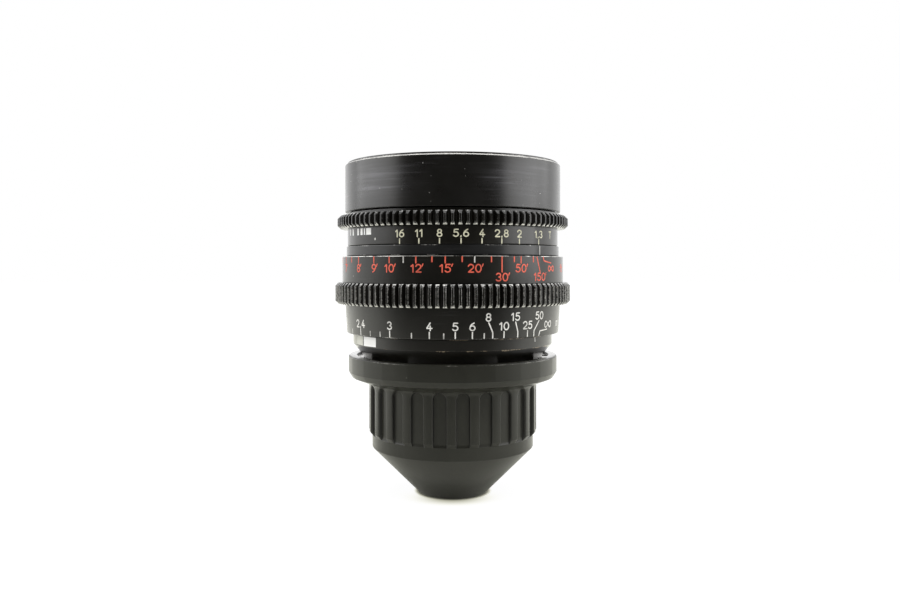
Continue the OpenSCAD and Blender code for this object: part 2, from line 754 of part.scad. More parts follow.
module block_sleeve() {
    slot_w = key_w + 2 * run_clear;
    slot_h = 2 * (drive_pin_r + free_gap);
    color("#35332f") difference() {
        turned([
            [block_low_bore, block_z], [block_low_r, block_z], [block_low_r, block_flange_z],
            [block_lip_r, block_flange_z], [block_lip_r, index_z], [block_up_r, index_z],
            [block_up_r, block_top_z], [block_up_bore, block_top_z], [block_up_bore, index_z],
            [flange_bore, index_z], [flange_bore, block_flange_z], [block_low_bore, block_flange_z]
        ]);
        for (a = key_angles)
            rotate([0, 0, a]) translate([key_slot_r, -slot_w / 2, block_z - over])
                cube([block_low_r, slot_w, key_z + key_len + free_gap - block_z + over]);
        rotate([0, 0, drive_azimuth - slot_spare])
            rotate_extrude(angle = iris_turn + 2 * slot_spare)
                translate([block_up_bore - over, drive_z - slot_h / 2])
                    square([block_up_r - block_up_bore + 2 * over, slot_h]);
    }
}

module index_band() {
    in_r = block_up_r + seat_clear;
    skirt_in_r = block_lip_r + seat_clear;
    color("#1d1c1a") turned([
        [in_r, index_z], [skirt_in_r, index_z], [skirt_in_r, skirt_z], [skirt_r, skirt_z], [skirt_r, index_z],
        [index_r - edge, index_z], [index_r, index_z + edge], [index_r, index_top_z - edge],
        [index_r - edge, index_top_z], [in_r, index_top_z]
    ]);
}

// Iris

module iris_ring() {
    top_z = front_z - face_gap;
    color("#1d1c1a") difference() {
        turned([
            [iris_bore, iris_z], [iris_r - edge, iris_z], [iris_r, iris_z + edge], [iris_r, iris_gear_z],
            [iris_seat_r, iris_gear_z], [iris_seat_r, top_z], [iris_bore, top_z]
        ]);
        drive_pin_shape(seat_clear);
    }
}

// Drive pin from the iris ring through the lens block into the cam ring, grown by the given clearance
module drive_pin_shape(grow) {
    foot_r = cam_r - drive_pin_hold;
    radial_rod(drive_pin_r + grow, drive_azimuth, drive_z, foot_r - grow, iris_seat_r - free_gap + grow);
}

module iris_drive_pin() {
    color("#a9a9a6") drive_pin_shape(0);
}

// Cup that carries the blades' pivots and the cam ring
module iris_housing() {
    color("#2a2927") difference() {
        turned([
            [stop_r, index_z], [housing_r, index_z], [housing_r, cam_z], [housing_in_r, cam_z],
            [housing_in_r, housing_top_z], [stop_r, housing_top_z]
        ]);
        for (i = [0:blade_n - 1])
            rotate([0, 0, 360 / blade_n * i - blade_span / 2]) translate([pivot_r, 0, 0])
                rod(blade_pin_r + run_clear, index_z - over, housing_top_z + over);
    }
}

// One crescent blade at full opening: a thin flat sheet with a pivot pin below and a drive pin above
module iris_blade(i) {
    half = blade_span / 2;
    chord_x = pivot_r * cos(half);
    chord_y = pivot_r * sin(half);
    color("#3b3936") rotate([0, 0, 360 / blade_n * (i - 1)]) {
        translate([chord_x, -chord_y, blade_z])
            rotate([atan(blade_slope), 0, 0])
                translate([-chord_x, chord_y, 0])
                    linear_extrude(blade_t) crescent();
        translate([chord_x, -chord_y, 0]) rod(blade_pin_r, index_z + free_gap, blade_z + blade_t / 2);
        translate([chord_x, chord_y, 0])
            rod(blade_pin_r, blade_z + blade_slope * blade_chord + blade_t / 2, cam_top_z - free_gap);
    }
}

// Flat outline of a blade: a sector of a ring with round ends at the pins
module crescent() {
    half = blade_span / 2;
    reach = 2 * blade_out_r;
    intersection() {
        difference() {
            circle(r = blade_out_r);
            circle(r = blade_in_r);
        }
        polygon([
            [0, 0], [reach * cos(half), -reach * sin(half)], [reach, -reach], [reach, reach],
            [reach * cos(half), reach * sin(half)]
        ]);
    }
    for (side = [-1, 1])
        translate([pivot_r * cos(half), side * pivot_r * sin(half)]) circle(r = blade_end_r);
}

module iris_cam_ring() {
    slot_h = cam_t + 2 * over;
    color("#8c7440") difference() {
        tube(cam_r, stop_r, cam_z, cam_top_z);
        for (i = [0:blade_n - 1])
            rotate([0, 0, 360 / blade_n * i + blade_span / 2]) translate([0, 0, cam_z - over]) {
                translate([slot_in_r, -slot_half_w, 0])
                    cube([slot_out_r - slot_in_r, 2 * slot_half_w, slot_h]);
                for (r = [slot_in_r, slot_out_r])
                    translate([r, 0, 0]) cylinder(r = slot_half_w, h = slot_h);
            }
        drive_pin_shape(seat_clear);
    }
}

module iris_retainer() {
    color("#2a2927")
        spanner_ring(housing_r, cam_r - iris_ring_w, iris_ring_z, iris_ring_top_z, true);
}

// Front group

module front_cell() {
    mid_bore = mid_glass_r + seat_clear;
    glass_bore = front_glass_r + seat_clear;
    color("#211f1d") turned([
        [mid_ring_r, cell_z], [housing_r, cell_z], [housing_r, block_top_z], [cell_collar_r, block_top_z],
        [cell_collar_r, cell_top_z], [glass_bore + edge, cell_top_z], [glass_bore, cell_top_z - edge],
        [glass_bore, front_glass_z], [front_ring_r, front_glass_z], [mid_bore, mid_ring_z + ring_t],
        [mid_bore, third_z], [mid_ring_r, third_z]
    ]);
}

module front_barrel() {
    tube_bore = block_up_r + seat_clear;
    collar_bore = cell_collar_r + seat_clear;
    color("#1d1c1a") turned([
        [tube_bore, front_z], [front_r - edge, front_z], [front_r, front_z + edge],
        [front_r, front_top_z - front_bevel], [front_r - front_bevel, front_top_z],
        [front_bore + edge, front_top_z], [front_bore, front_top_z - edge],
        [front_bore, cell_top_z + bore_step_h], [collar_bore, cell_top_z], [collar_bore, block_top_z],
        [tube_bore, block_top_z]
    ]);
}

module front_ring() {
    color("#211f1d")
        spanner_ring(front_glass_r, front_ring_r, front_ring_z, front_ring_z + ring_t, true);
}

module mid_ring() {
    color("#211f1d")
        spanner_ring(mid_glass_r, mid_ring_r, mid_ring_z, mid_ring_z + ring_t, true);
}

module glass() {
    color("#9fb4b8", 0.4) children();
}

module front_element() {
    glass() dome_up(
        front_glass_curve, front_glass_r, front_glass_top_z, front_glass_top_z - front_glass_z
    );
}

module second_element() {
    glass() dome_up(second_curve, mid_glass_r, second_top_z, second_top_z - second_z);
}

module third_element() {
    hollow_z = third_z + sag(third_curve, third_hollow_r);
    glass() difference() {
        rod(mid_glass_r, third_z, second_z - seat_clear);
        dome_up(third_curve, third_hollow_r + over, hollow_z, hollow_z - third_z + over);
    }
}

// Rear group

module rear_cell() {
    rear_bore = rear_glass_r + seat_clear;
    sixth_bore = sixth_glass_r + seat_clear;
    last_bore = last_glass_r + seat_clear;
    color("#211f1d") turned([
        [last_bore, rear_cell_z], [rear_tube_r - edge, rear_cell_z], [rear_tube_r, rear_cell_z + edge],
        [rear_tube_r, rear_step_z], [rear_cell_r, rear_step_z], [rear_cell_r, block_flange_z],
        [rear_bore, block_flange_z], [rear_bore, fifth_seat_z], [sixth_bore, fifth_seat_z],
        [sixth_bore, sixth_seat_z], [spacer_in_r, sixth_seat_z], [baffle_r, rear_step_z],
        [baffle_r, last_top_z + air_gap], [last_ring_r, last_seat_z], [last_bore, last_seat_z]
    ]);
}

module rear_front_ring() {
    z = fourth_top_z + seat_clear;
    color("#211f1d") spanner_ring(rear_glass_r, rear_glass_r - glass_seat, z, z + ring_t, true);
}

module rear_spacer() {
    color("#211f1d") tube(sixth_glass_r, spacer_in_r, spacer_z, spacer_top_z);
}

module rear_ring() {
    color("#211f1d")
        spanner_ring(last_glass_r, last_ring_r, last_ring_z, last_ring_z + ring_t, false);
}

module fourth_element() {
    glass() difference() {
        rod(rear_glass_r, fourth_z, fourth_top_z);
        dome_down(
            fourth_curve, fourth_hollow_r + over, fourth_top_z - sag(fourth_curve, fourth_hollow_r),
            sag(fourth_curve, fourth_hollow_r) + over
        );
    }
}

module fifth_element() {
    glass() dome_down(fifth_curve, rear_glass_r, fifth_z, fifth_top_z - fifth_z);
}

module sixth_element() {
    glass() intersection() {
        dome_up(sixth_front_curve, sixth_glass_r, sixth_top_z, sixth_top_z - sixth_z + over);
        dome_down(sixth_rear_curve, sixth_glass_r, sixth_z, sixth_top_z - sixth_z + over);
    }
}

module rear_element() {
    glass() intersection() {
        dome_up(last_front_curve, last_glass_r, last_top_z, last_top_z - last_z + over);
        dome_down(last_rear_curve, last_glass_r, last_z, last_top_z - last_z + over);
    }
}

rear_cap();
mount_flange();
mount_screws();
mount_barrel();
focus_retainer();
guide_keys();
key_screws();
focus_ring();
focus_gear();
helicoid_nut();
nut_screws();
block_sleeve();
index_band();
iris_housing();
iris_retainer();
front_cell();
front_barrel();
front_ring();
mid_ring();
front_element();
second_element();
third_element();
rear_cell();
rear_front_ring();
rear_spacer();
rear_ring();
fourth_element();
fifth_element();
sixth_element();
rear_element();
iris_ring();
iris_gear();
iris_drive_pin();
iris_cam_ring();
for (i = [1:blade_n])
    iris_blade(i);
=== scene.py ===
import json
import math
from types import SimpleNamespace

import bpy
import numpy as np
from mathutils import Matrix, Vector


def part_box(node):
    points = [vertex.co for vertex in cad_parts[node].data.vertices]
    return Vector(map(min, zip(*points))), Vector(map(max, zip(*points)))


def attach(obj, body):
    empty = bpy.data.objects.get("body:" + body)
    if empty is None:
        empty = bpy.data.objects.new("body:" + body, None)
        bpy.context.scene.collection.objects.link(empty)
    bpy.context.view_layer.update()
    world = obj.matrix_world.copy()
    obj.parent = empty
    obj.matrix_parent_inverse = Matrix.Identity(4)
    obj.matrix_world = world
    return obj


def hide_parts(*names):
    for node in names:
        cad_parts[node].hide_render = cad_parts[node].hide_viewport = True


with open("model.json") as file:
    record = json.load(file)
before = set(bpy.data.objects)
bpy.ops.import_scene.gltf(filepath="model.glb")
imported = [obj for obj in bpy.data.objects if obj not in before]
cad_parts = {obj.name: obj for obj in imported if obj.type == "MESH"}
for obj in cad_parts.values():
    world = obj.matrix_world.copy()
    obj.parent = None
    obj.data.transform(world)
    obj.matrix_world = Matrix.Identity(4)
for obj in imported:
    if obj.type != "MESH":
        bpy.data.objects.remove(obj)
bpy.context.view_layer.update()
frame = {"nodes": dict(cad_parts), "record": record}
nodes = frame["nodes"]
mm = 0.001  # the part's lengths below are in millimetres, the studio's in metres
fullTurn = 2 * math.pi
tiny, small = 1e-6, 1e-3


def byName(build):
    # lets a function read its settings dictionary as s.name
    return lambda settings: build(SimpleNamespace(**settings))


def span(node):
    low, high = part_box(node)
    return low.z / mm, high.z / mm


# mesh helpers

def linkObject(name, data):
    made = bpy.data.objects.new(name, data)
    bpy.context.scene.collection.objects.link(made)
    return made


def makePiece(name, points, faces, finish, body, stands=(), fields=None, sharp=38, trim=None):
    # faces is a list of index arrays, each one all triangles or all quads; fields hold a value per point
    # trim is a second finish and the faces that have it, as nought or one
    loops = np.concatenate([f.ravel() for f in faces])
    sides = np.concatenate([np.full(len(f), f.shape[1]) for f in faces])
    starts = np.concatenate([[0], np.cumsum(sides)[:-1]])
    mesh = bpy.data.meshes.new(name)
    mesh.vertices.add(len(points))
    mesh.vertices.foreach_set("co", (points * mm).astype(np.float32).ravel())
    mesh.loops.add(len(loops))
    mesh.loops.foreach_set("vertex_index", loops.astype(np.int32))
    mesh.polygons.add(len(sides))
    mesh.polygons.foreach_set("loop_start", starts.astype(np.int32))
    mesh.update(calc_edges=True)
    mesh.validate()
    mesh.shade_smooth()
    mesh.set_sharp_from_angle(angle=math.radians(sharp))
    for key, values in (fields or {}).items():
        field = mesh.attributes.new(key, "FLOAT", "POINT")
        field.data.foreach_set("value", np.asarray(values, np.float32).ravel())
    mesh.materials.append(finish)
    if trim:
        mesh.materials.append(trim[0])
        mesh.polygons.foreach_set("material_index", np.asarray(trim[1], np.int32))
    piece = linkObject(name, mesh)
    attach(piece, body)
    if stands:
        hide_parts(*stands)


def gridFaces(across, along, loop=True):
    # quads of a grid that closes round its first direction, and along its second where loop is set
    i = np.arange(across)[:, None]
    j = np.arange(along if loop else along - 1)[None, :]
    n, k = (i + 1) % across, (j + 1) % along
    return np.stack([i * along + j, n * along + j, n * along + k, i * along + k], -1).reshape(-1, 4)


def closedFaces(across, along):
    # an open grid, with fans from its first and last rows to the two points that follow it
    i = np.arange(across)
    n = (i + 1) % across
    low = np.full(across, across * along)
    foot = np.stack([low, n * along, i * along], -1)
    head = np.stack([low + 1, i * along + along - 1, n * along + along - 1], -1)
    return [gridFaces(across, along, False), foot, head]


def swing(radius, height, angle):
    # a point at the angle from the camera's side, counted towards +X: (r sin a, -r cos a, z)
    radius, height, angle = np.broadcast_arrays(radius, height, angle)
    return np.stack([radius * np.sin(angle), -radius * np.cos(angle), height], -1)


def turns(segs):
    return np.arange(segs)[:, None] * fullTurn / segs


def revolve(profile, segs):
    return swing(profile[:, 0][None], profile[:, 1][None], turns(segs)).reshape(-1, 3)


def roundedProfile(corners, loop=True, steps=4, reach=.1, longest=.4, farthest=.46):
    # corner rows: radius, height, rounding, and if there is any, wear on the edge and on the face after it
    # each corner becomes an arc that touches both sides, with one more point on each side to keep the faces
    # flat; longest and farthest are the shares of a side that the arc and that point may take
    spec = np.array([row + [0] * (5 - len(row)) for row in corners], float)
    spots, wear = [], []
    for k, here in enumerate(spec):
        before, after = spec[k - 1], spec[(k + 1) % len(spec)]
        a, b = before[:2] - here[:2], after[:2] - here[:2]
        la, lb = np.hypot(*a), np.hypot(*b)
        a, b = a / la, b / lb
        half = math.acos(np.clip(a @ b, -1, 1)) / 2
        cut = min(here[2] / math.tan(half), longest * la, longest * lb)
        if cut < small or not loop and k in (0, len(spec) - 1):
            spots.append(here[:2][None])
            wear.append([here[3]])
            continue
        radius = cut * math.tan(half)
        middle = here[:2] + (a + b) / np.linalg.norm(a + b) * radius / math.sin(half)
        u, v = (here[:2] + a * cut - middle) / radius, (here[:2] + b * cut - middle) / radius
        turn = math.acos(np.clip(u @ v, -1, 1))
        t = np.linspace(0, 1, steps + 1)[:, None]
        arc = middle + radius * (np.sin((1 - t) * turn) * u + np.sin(t * turn) * v) / math.sin(turn)
        lead = here[:2] + a * min(cut + reach, farthest * la)
        tail = here[:2] + b * min(cut + reach, farthest * lb)
        spots.append(np.vstack([lead[None], arc, tail[None]]))
        wear.append([before[4]] + [here[3]] * (steps + 1) + [here[4]])
    return np.vstack(spots), np.concatenate(wear)


def turnedPiece(name, corners, finish, body, node, rubbed=None, segs=240, least=.75, more=.4):
    # a closed profile swung round Z; rubbed is the angle of the side with more wear, where there is one
    # the share of the wear is least + more cos(a - rubbed)^2 on that side and least on the other
    profile, wear = roundedProfile(corners)
    share = np.ones((segs, 1))
    if rubbed is not None:
        share = least + more * np.maximum(np.cos(turns(segs) - math.radians(rubbed)), 0) ** 2
    makePiece(name, revolve(profile, segs), [gridFaces(segs, len(profile))], finish, body,
              [node], {"wear": share * wear[None]})


# material helpers

def plug(node, inputs):
    # sockets are linked and plain values set
    for key, value in inputs.items():
        if isinstance(value, bpy.types.NodeSocket):
            node.id_data.links.new(value, node.inputs[key])
        else:
            node.inputs[key].default_value = value


def addNode(tree, kind, inputs=None, **settings):
    made = tree.nodes.new("ShaderNode" + kind)
    for key, value in settings.items():
        setattr(made, key, value)
    plug(made, inputs or {})
    return made.outputs


def newFinish(name):
    finish = bpy.data.materials.new(name)
    finish.use_nodes = True
    tree = finish.node_tree
    coords = addNode(tree, "TexCoord")["Object"]
    return finish, tree, tree.nodes["Principled BSDF"], coords


def calc(tree, operation, a, b=0.0, clamp=False):
    return addNode(tree, "Math", {0: a, 1: b}, operation=operation, use_clamp=clamp)[0]


def times(tree, a, b):
    return calc(tree, "MULTIPLY", a, b)


def less(tree, a, b, clamp=False):
    return calc(tree, "SUBTRACT", a, b, clamp)


def noise(tree, coords, scale, detail=3.0, rough=.55):
    inputs = {"Vector": coords, "Scale": scale, "Detail": detail, "Roughness": rough}
    return addNode(tree, "TexNoise", inputs)[0]


def stretch(tree, coords, scale):
    return addNode(tree, "Mapping", {"Vector": coords, "Scale": scale})[0]


def fade(tree, value, low, high, start=0.0, end=1.0):
    # start below low, end above high, smooth between
    inputs = {"Value": value, "From Min": low, "From Max": high, "To Min": start, "To Max": end}
    return addNode(tree, "MapRange", inputs, interpolation_type="SMOOTHSTEP")[0]


def blend(tree, factor, a, b):
    a, b = [c if isinstance(c, bpy.types.NodeSocket) else (*c, 1) for c in (a, b)]
    return addNode(tree, "Mix", {0: factor, 6: a, 7: b}, data_type="RGBA")[2]


def attribute(tree, name):
    return addNode(tree, "Attribute", attribute_name=name)["Fac"]


def distance(tree, coords):
    return addNode(tree, "VectorMath", {0: coords}, operation="LENGTH")["Value"]


def ripple(tree, height, strength, depth):
    return addNode(tree, "Bump", {"Height": height, "Strength": strength, "Distance": depth})[0]


def specks(tree, coords, scale, size, share):
    # small spots of mixed size and strength near the centres of a share of the cells
    cells = addNode(tree, "TexVoronoi", {"Vector": coords, "Scale": scale})
    pick = addNode(tree, "SeparateColor", {0: cells["Color"]})
    near = calc(tree, "DIVIDE", cells["Distance"], fade(tree, pick[1], 0, 1, size * .35, size))
    spot = times(tree, fade(tree, near, .5, 1, 1.0, 0.0), fade(tree, pick[2], 0, 1, .3, 1))
    return times(tree, spot, calc(tree, "GREATER_THAN", pick[0], 1 - share))


# ranges of noise over which a look changes, and for bareFade of wear plus noise
cloudFade, rubFade, lineFade, patchFade, roughFade = (.35, .7), (.44, .66), (.3, .66), (.2, .8), (.3, .75)
hairFade, grimeFade, lossFade, wipeFade, bareFade = (.56, .7), (.42, .8), (.6, .8), (.5, .8), (1.62, 1.86)
# the second value is the near-black colour of painted shade in corners
rubWidth, cornerShade = .16, (.003, .003, .0025)
coatDepth, fineDepth = .00006, .00004


@byName
def coatFinish(s):
    # a dark coat: cloudy colour, rub marks along one way, pale specks, scuffs by their own field, and by
    # the wear field bare edges above nought and painted shade below it, which darkens corners
    finish, tree, shader, coords = newFinish(s.name)
    cloud = noise(tree, coords, s.cloud, 4)
    colour = blend(tree, fade(tree, cloud, *cloudFade), s.dark, s.light)
    lines = noise(tree, stretch(tree, coords, s.streak), 1, 5, .62)
    rub = times(tree, fade(tree, lines, s.rubFrom, s.rubFrom + rubWidth),
                fade(tree, noise(tree, coords, s.cloud * .7, 2), *rubFade))
    colour = blend(tree, times(tree, rub, s.rub), colour, s.rubColour)
    scuff = times(tree, attribute(tree, "scuff"), fade(tree, lines, *lineFade, .25, 1.0))
    colour = blend(tree, scuff, colour, s.scuffColour)
    dots = specks(tree, coords, s.speckScale, s.speckSize, s.speckShare)
    colour = blend(tree, times(tree, dots, .8), colour, s.speckColour)
    worn = attribute(tree, "wear")
    patches = fade(tree, noise(tree, coords, s.chip * .16, 2), *patchFade, .5 - s.patchy, .5 + s.patchy)
    chips = calc(tree, "ADD", noise(tree, coords, s.chip, 5, .7), patches)
    bare = fade(tree, calc(tree, "ADD", times(tree, worn, s.wear), chips), *bareFade)
    colour = blend(tree, bare, colour, s.bare)
    # wear below nought paints shade: the colour goes towards near-black
    colour = blend(tree, fade(tree, worn, -1, 0, 1, 0), colour, cornerShade)
    rough = fade(tree, cloud, *roughFade, s.rough - .05, s.rough + .08)
    rough = less(tree, rough, times(tree, rub, s.rubShine))
    grain = noise(tree, coords, s.grain, 3)
    height = less(tree, times(tree, grain, .5), times(tree, bare, .6))
    plug(shader, {"Base Color": colour, "Roughness": rough, "Specular IOR Level": s.gloss,
                  "Coat Weight": s.coat, "Coat Roughness": s.coatRough, "Coat IOR": s.coatIor,
                  "Normal": ripple(tree, height, s.bump, coatDepth)})
    if s.metal:
        plug(shader, {"Metallic": bare})
    return finish


@byName
def metalFinish(s):
    # turned metal: fine rings by the distance from the axis, a slight stain, and hair scratches
    finish, tree, shader, coords = newFinish(s.name)
    flat = addNode(tree, "VectorMath", {0: coords, 1: (1, 1, 0)}, operation="MULTIPLY")[0]
    rings = addNode(tree, "TexNoise", {"W": distance(tree, flat), "Scale": s.rings, "Detail": 3.0},
                    noise_dimensions="1D")[0]
    stain = noise(tree, coords, s.cloud, 4)
    colour = blend(tree, fade(tree, stain, *cloudFade), s.light, s.dark)
    hairs = fade(tree, noise(tree, stretch(tree, coords, s.streak), 1, 4, .6), *hairFade)
    plug(shader, {"Base Color": blend(tree, times(tree, hairs, .35), colour, s.dark), "Metallic": 1,
                  "Roughness": fade(tree, calc(tree, "ADD", rings, hairs), .3, 1.4, s.rough, s.rough + .2),
                  "Normal": ripple(tree, rings, s.bump, fineDepth)})
    return finish


@byName
def paintFinish(s):
    # filled engraving or label stock: slightly uneven colour with grime and small losses
    finish, tree, shader, coords = newFinish(s.name)
    grime = fade(tree, noise(tree, coords, s.cloud, 4), *grimeFade)
    losses = fade(tree, noise(tree, coords, s.losses, 3), *lossFade)
    colour = blend(tree, times(tree, grime, s.grime), s.colour, s.dirt)
    plug(shader, {"Base Color": blend(tree, times(tree, losses, s.grime * .6), colour, s.dirt),
                  "Roughness": fade(tree, grime, 0, 1, s.rough, s.rough + .2),
                  "Normal": ripple(tree, noise(tree, coords, s.grain, 2), s.bump, fineDepth)})
    return finish


@byName
def glassFinish(s):
    # clear glass with a thin coating, a few dust grains and faint wipe marks
    finish, tree, shader, coords = newFinish(s.name)
    dust = specks(tree, coords, s.dustScale, s.dustSize, s.dustShare)
    wipe = fade(tree, noise(tree, stretch(tree, coords, s.streak), 1, 4), *wipeFade)
    plug(shader, {"Base Color": blend(tree, times(tree, dust, .5), s.tint, s.dustColour),
                  "Roughness": calc(tree, "ADD", times(tree, wipe, .02), times(tree, dust, .3)),
                  "Transmission Weight": 1, "IOR": s.ior, "Thin Film Thickness": s.film,
                  "Thin Film IOR": s.filmIor})
    return finish


# finishes

barrelLook = dict(
    name="black_barrel_coat", dark=(.004, .0035, .0025), light=(.0072, .0064, .0047), cloud=70,
    streak=(60, 60, 1500), rub=.35, rubFrom=.56, rubColour=(.05, .048, .05), rubShine=.06,
    scuffColour=(.1, .098, .108), speckScale=230, speckSize=.09, speckShare=.05,
    speckColour=(.3, .29, .27), chip=900, patchy=.3, wear=.72, bare=(.62, .61, .58), metal=True, rough=.36,
    gloss=.25, coat=1.0, coatRough=.17, coatIor=1.37, grain=3800, bump=.1)
baseLook = dict(barrelLook, name="base_barrel_coat", bare=(.42, .34, .24))
bandLook = dict(
    barrelLook, name="index_band_coat", dark=(.006, .0064, .0072), light=(.0105, .011, .0122), rough=.44)
irisLook = dict(barrelLook, name="iris_ring_coat", rub=.2, speckShare=.03)
frontLook = dict(
    barrelLook, name="front_barrel_coat", dark=(.0042, .0038, .0033), light=(.0074, .0069, .0062), rub=.5,
    rough=.3, coatRough=.23, rubColour=(.06, .058, .062), speckScale=420, speckSize=.1, speckShare=.4,
    speckColour=(.62, .61, .58), wear=.8)
gearLook = dict(
    barrelLook, name="gear_black", rub=.15, speckScale=420, speckSize=.12, speckShare=.1, chip=1700,
    patchy=.06, wear=1.0, rough=.34, bare=(.76, .75, .72))
innerLook = dict(
    barrelLook, name="inner_black_coat", dark=(.006, .006, .006), light=(.011, .011, .0105), rub=.25,
    rough=.6, gloss=.1, coat=0.0, speckShare=.02)
capLook = dict(
    name="cap_moulding", dark=(.017, .017, .0125), light=(.024, .024, .018), cloud=45,
    streak=(420, 420, 60), rub=.35, rubFrom=.58, rubColour=(.05, .049, .045), rubShine=.05,
    scuffColour=(.05, .05, .045), speckScale=260, speckSize=.1, speckShare=.05,
    speckColour=(.16, .155, .14), chip=700, patchy=.3, wear=.64, bare=(.2, .195, .175), metal=False,
    rough=.45, gloss=.1, coat=1.0, coatRough=.28, coatIor=1.3, grain=2600, bump=.16)
rimLook = dict(capLook, name="cap_rim_polish", rough=.12, gloss=.5, coatRough=.05, coatIor=1.6, wear=.4)
steelLook = dict(
    name="mount_steel", light=(.74, .73, .71), dark=(.54, .53, .51), rings=9000, cloud=90,
    streak=(900, 60, 60), rough=.2, bump=.15)
screwLook = dict(steelLook, name="screw_steel", light=(.5, .49, .47), dark=(.32, .31, .3), rough=.3)
brassLook = dict(steelLook, name="helicoid_brass", light=(.72, .53, .26), dark=(.5, .35, .15), rough=.28)
bladeLook = dict(
    steelLook, name="blade_steel", light=(.022, .022, .024), dark=(.012, .012, .013), rings=3000, rough=.36)
frontGlassLook = dict(
    name="front_glass", tint=(.985, .995, .99), ior=1.52, film=108, filmIor=1.24, streak=(300, 40, 40),
    dustScale=900, dustSize=.16, dustShare=.06, dustColour=(.75, .74, .7))
innerGlassLook = dict(
    frontGlassLook, name="inner_glass", tint=(.99, .99, .98), ior=1.6, film=112, filmIor=1.27)
whiteInkLook = dict(
    name="white_fill", colour=(.8, .79, .74), dirt=(.2, .19, .17), cloud=260, grime=.55, losses=2600,
    rough=.5, grain=3200, bump=.12)
creamInkLook = dict(whiteInkLook, name="cream_fill", colour=(.7, .68, .5), dirt=(.2, .19, .14))
redInkLook = dict(whiteInkLook, name="red_fill", colour=(.8, .115, .06), dirt=(.28, .05, .035), grime=.5)
faintInkLook = dict(
    whiteInkLook, name="faint_fill", colour=(.62, .61, .57), dirt=(.1, .1, .09), cloud=500, grime=.7)
labelLook = dict(
    whiteInkLook, name="label_stock", colour=(.93, .93, .9), dirt=(.6, .59, .54), cloud=120, grime=.25)
oldLabelLook = dict(
    labelLook, name="old_label_stock", colour=(.62, .62, .54), dirt=(.26, .26, .22), cloud=160, grime=.7)

barrelCoat, baseCoat, bandCoat, irisCoat, frontCoat, gearCoat, innerCoat, capMoulding, rimPolish = map(
    coatFinish,
    (barrelLook, baseLook, bandLook, irisLook, frontLook, gearLook, innerLook, capLook, rimLook))
mountSteel, screwSteel, helicoidBrass, bladeSteel = map(
    metalFinish, (steelLook, screwLook, brassLook, bladeLook))
frontGlass, innerGlass = map(glassFinish, (frontGlassLook, innerGlassLook))
whiteInk, creamInk, redInk, faintInk, labelStock, oldLabelStock = map(
    paintFinish, (whiteInkLook, creamInkLook, redInkLook, faintInkLook, labelLook, oldLabelLook))
print("finishes made:", len(bpy.data.materials))

slotFinish = {
    "cap_plastic": capMoulding, "mount_steel": mountSteel, "screw_steel": screwSteel,
    "black_barrel": barrelCoat, "gear_black": gearCoat, "inner_black": innerCoat,
    "helicoid_brass": helicoidBrass, "blade_steel": bladeSteel, "optical_glass": innerGlass}
for entry in frame["record"]["subparts"]:
    # the cam ring is blackened, though its slot is brass
    chosen = innerCoat if entry["node"] == "iris_cam_ring" else slotFinish[entry["material_slot"]]
    kept = nodes[entry["node"]].data
    kept.materials.clear()
    kept.materials.append(chosen)


# rear cap: a bell with upright flutes, worked out as radius over height and angle

capShape = dict(
    footR=12.6, bellR=29.95, ribR=31.2, skirtR=37.4, rimR=38.7, socketR=35.55, boreR=28.2, poleR=.6,
    coneTop=17.35, bandTop=21.7, ribFoot=23.25, blend=40.8, skirt=43.2, rimFoot=45.25, seat=47.4, floor=3,
    wall=2.5, bevel=.4, flutes=24, fluteWidth=4.7, headMiddle=38.35, headArc=72, headRows=10,
    leastStep=.03, ribFrom=.1, topFlat=.05, turn=-.8)
# across a flute's outline: distance, share of the depth, wear, rub; wear below nought is painted shade in
# the flute's corners
fluteEdge = np.array([
    [-.34, 1, 0, 0], [-.32, 1, -.3, 0], [-.14, .96, -.9, 0], [-.03, .8, -.8, .1], [.03, .2, .3, .8],
    [.14, .04, .55, .7], [.32, 0, 0, 0]])


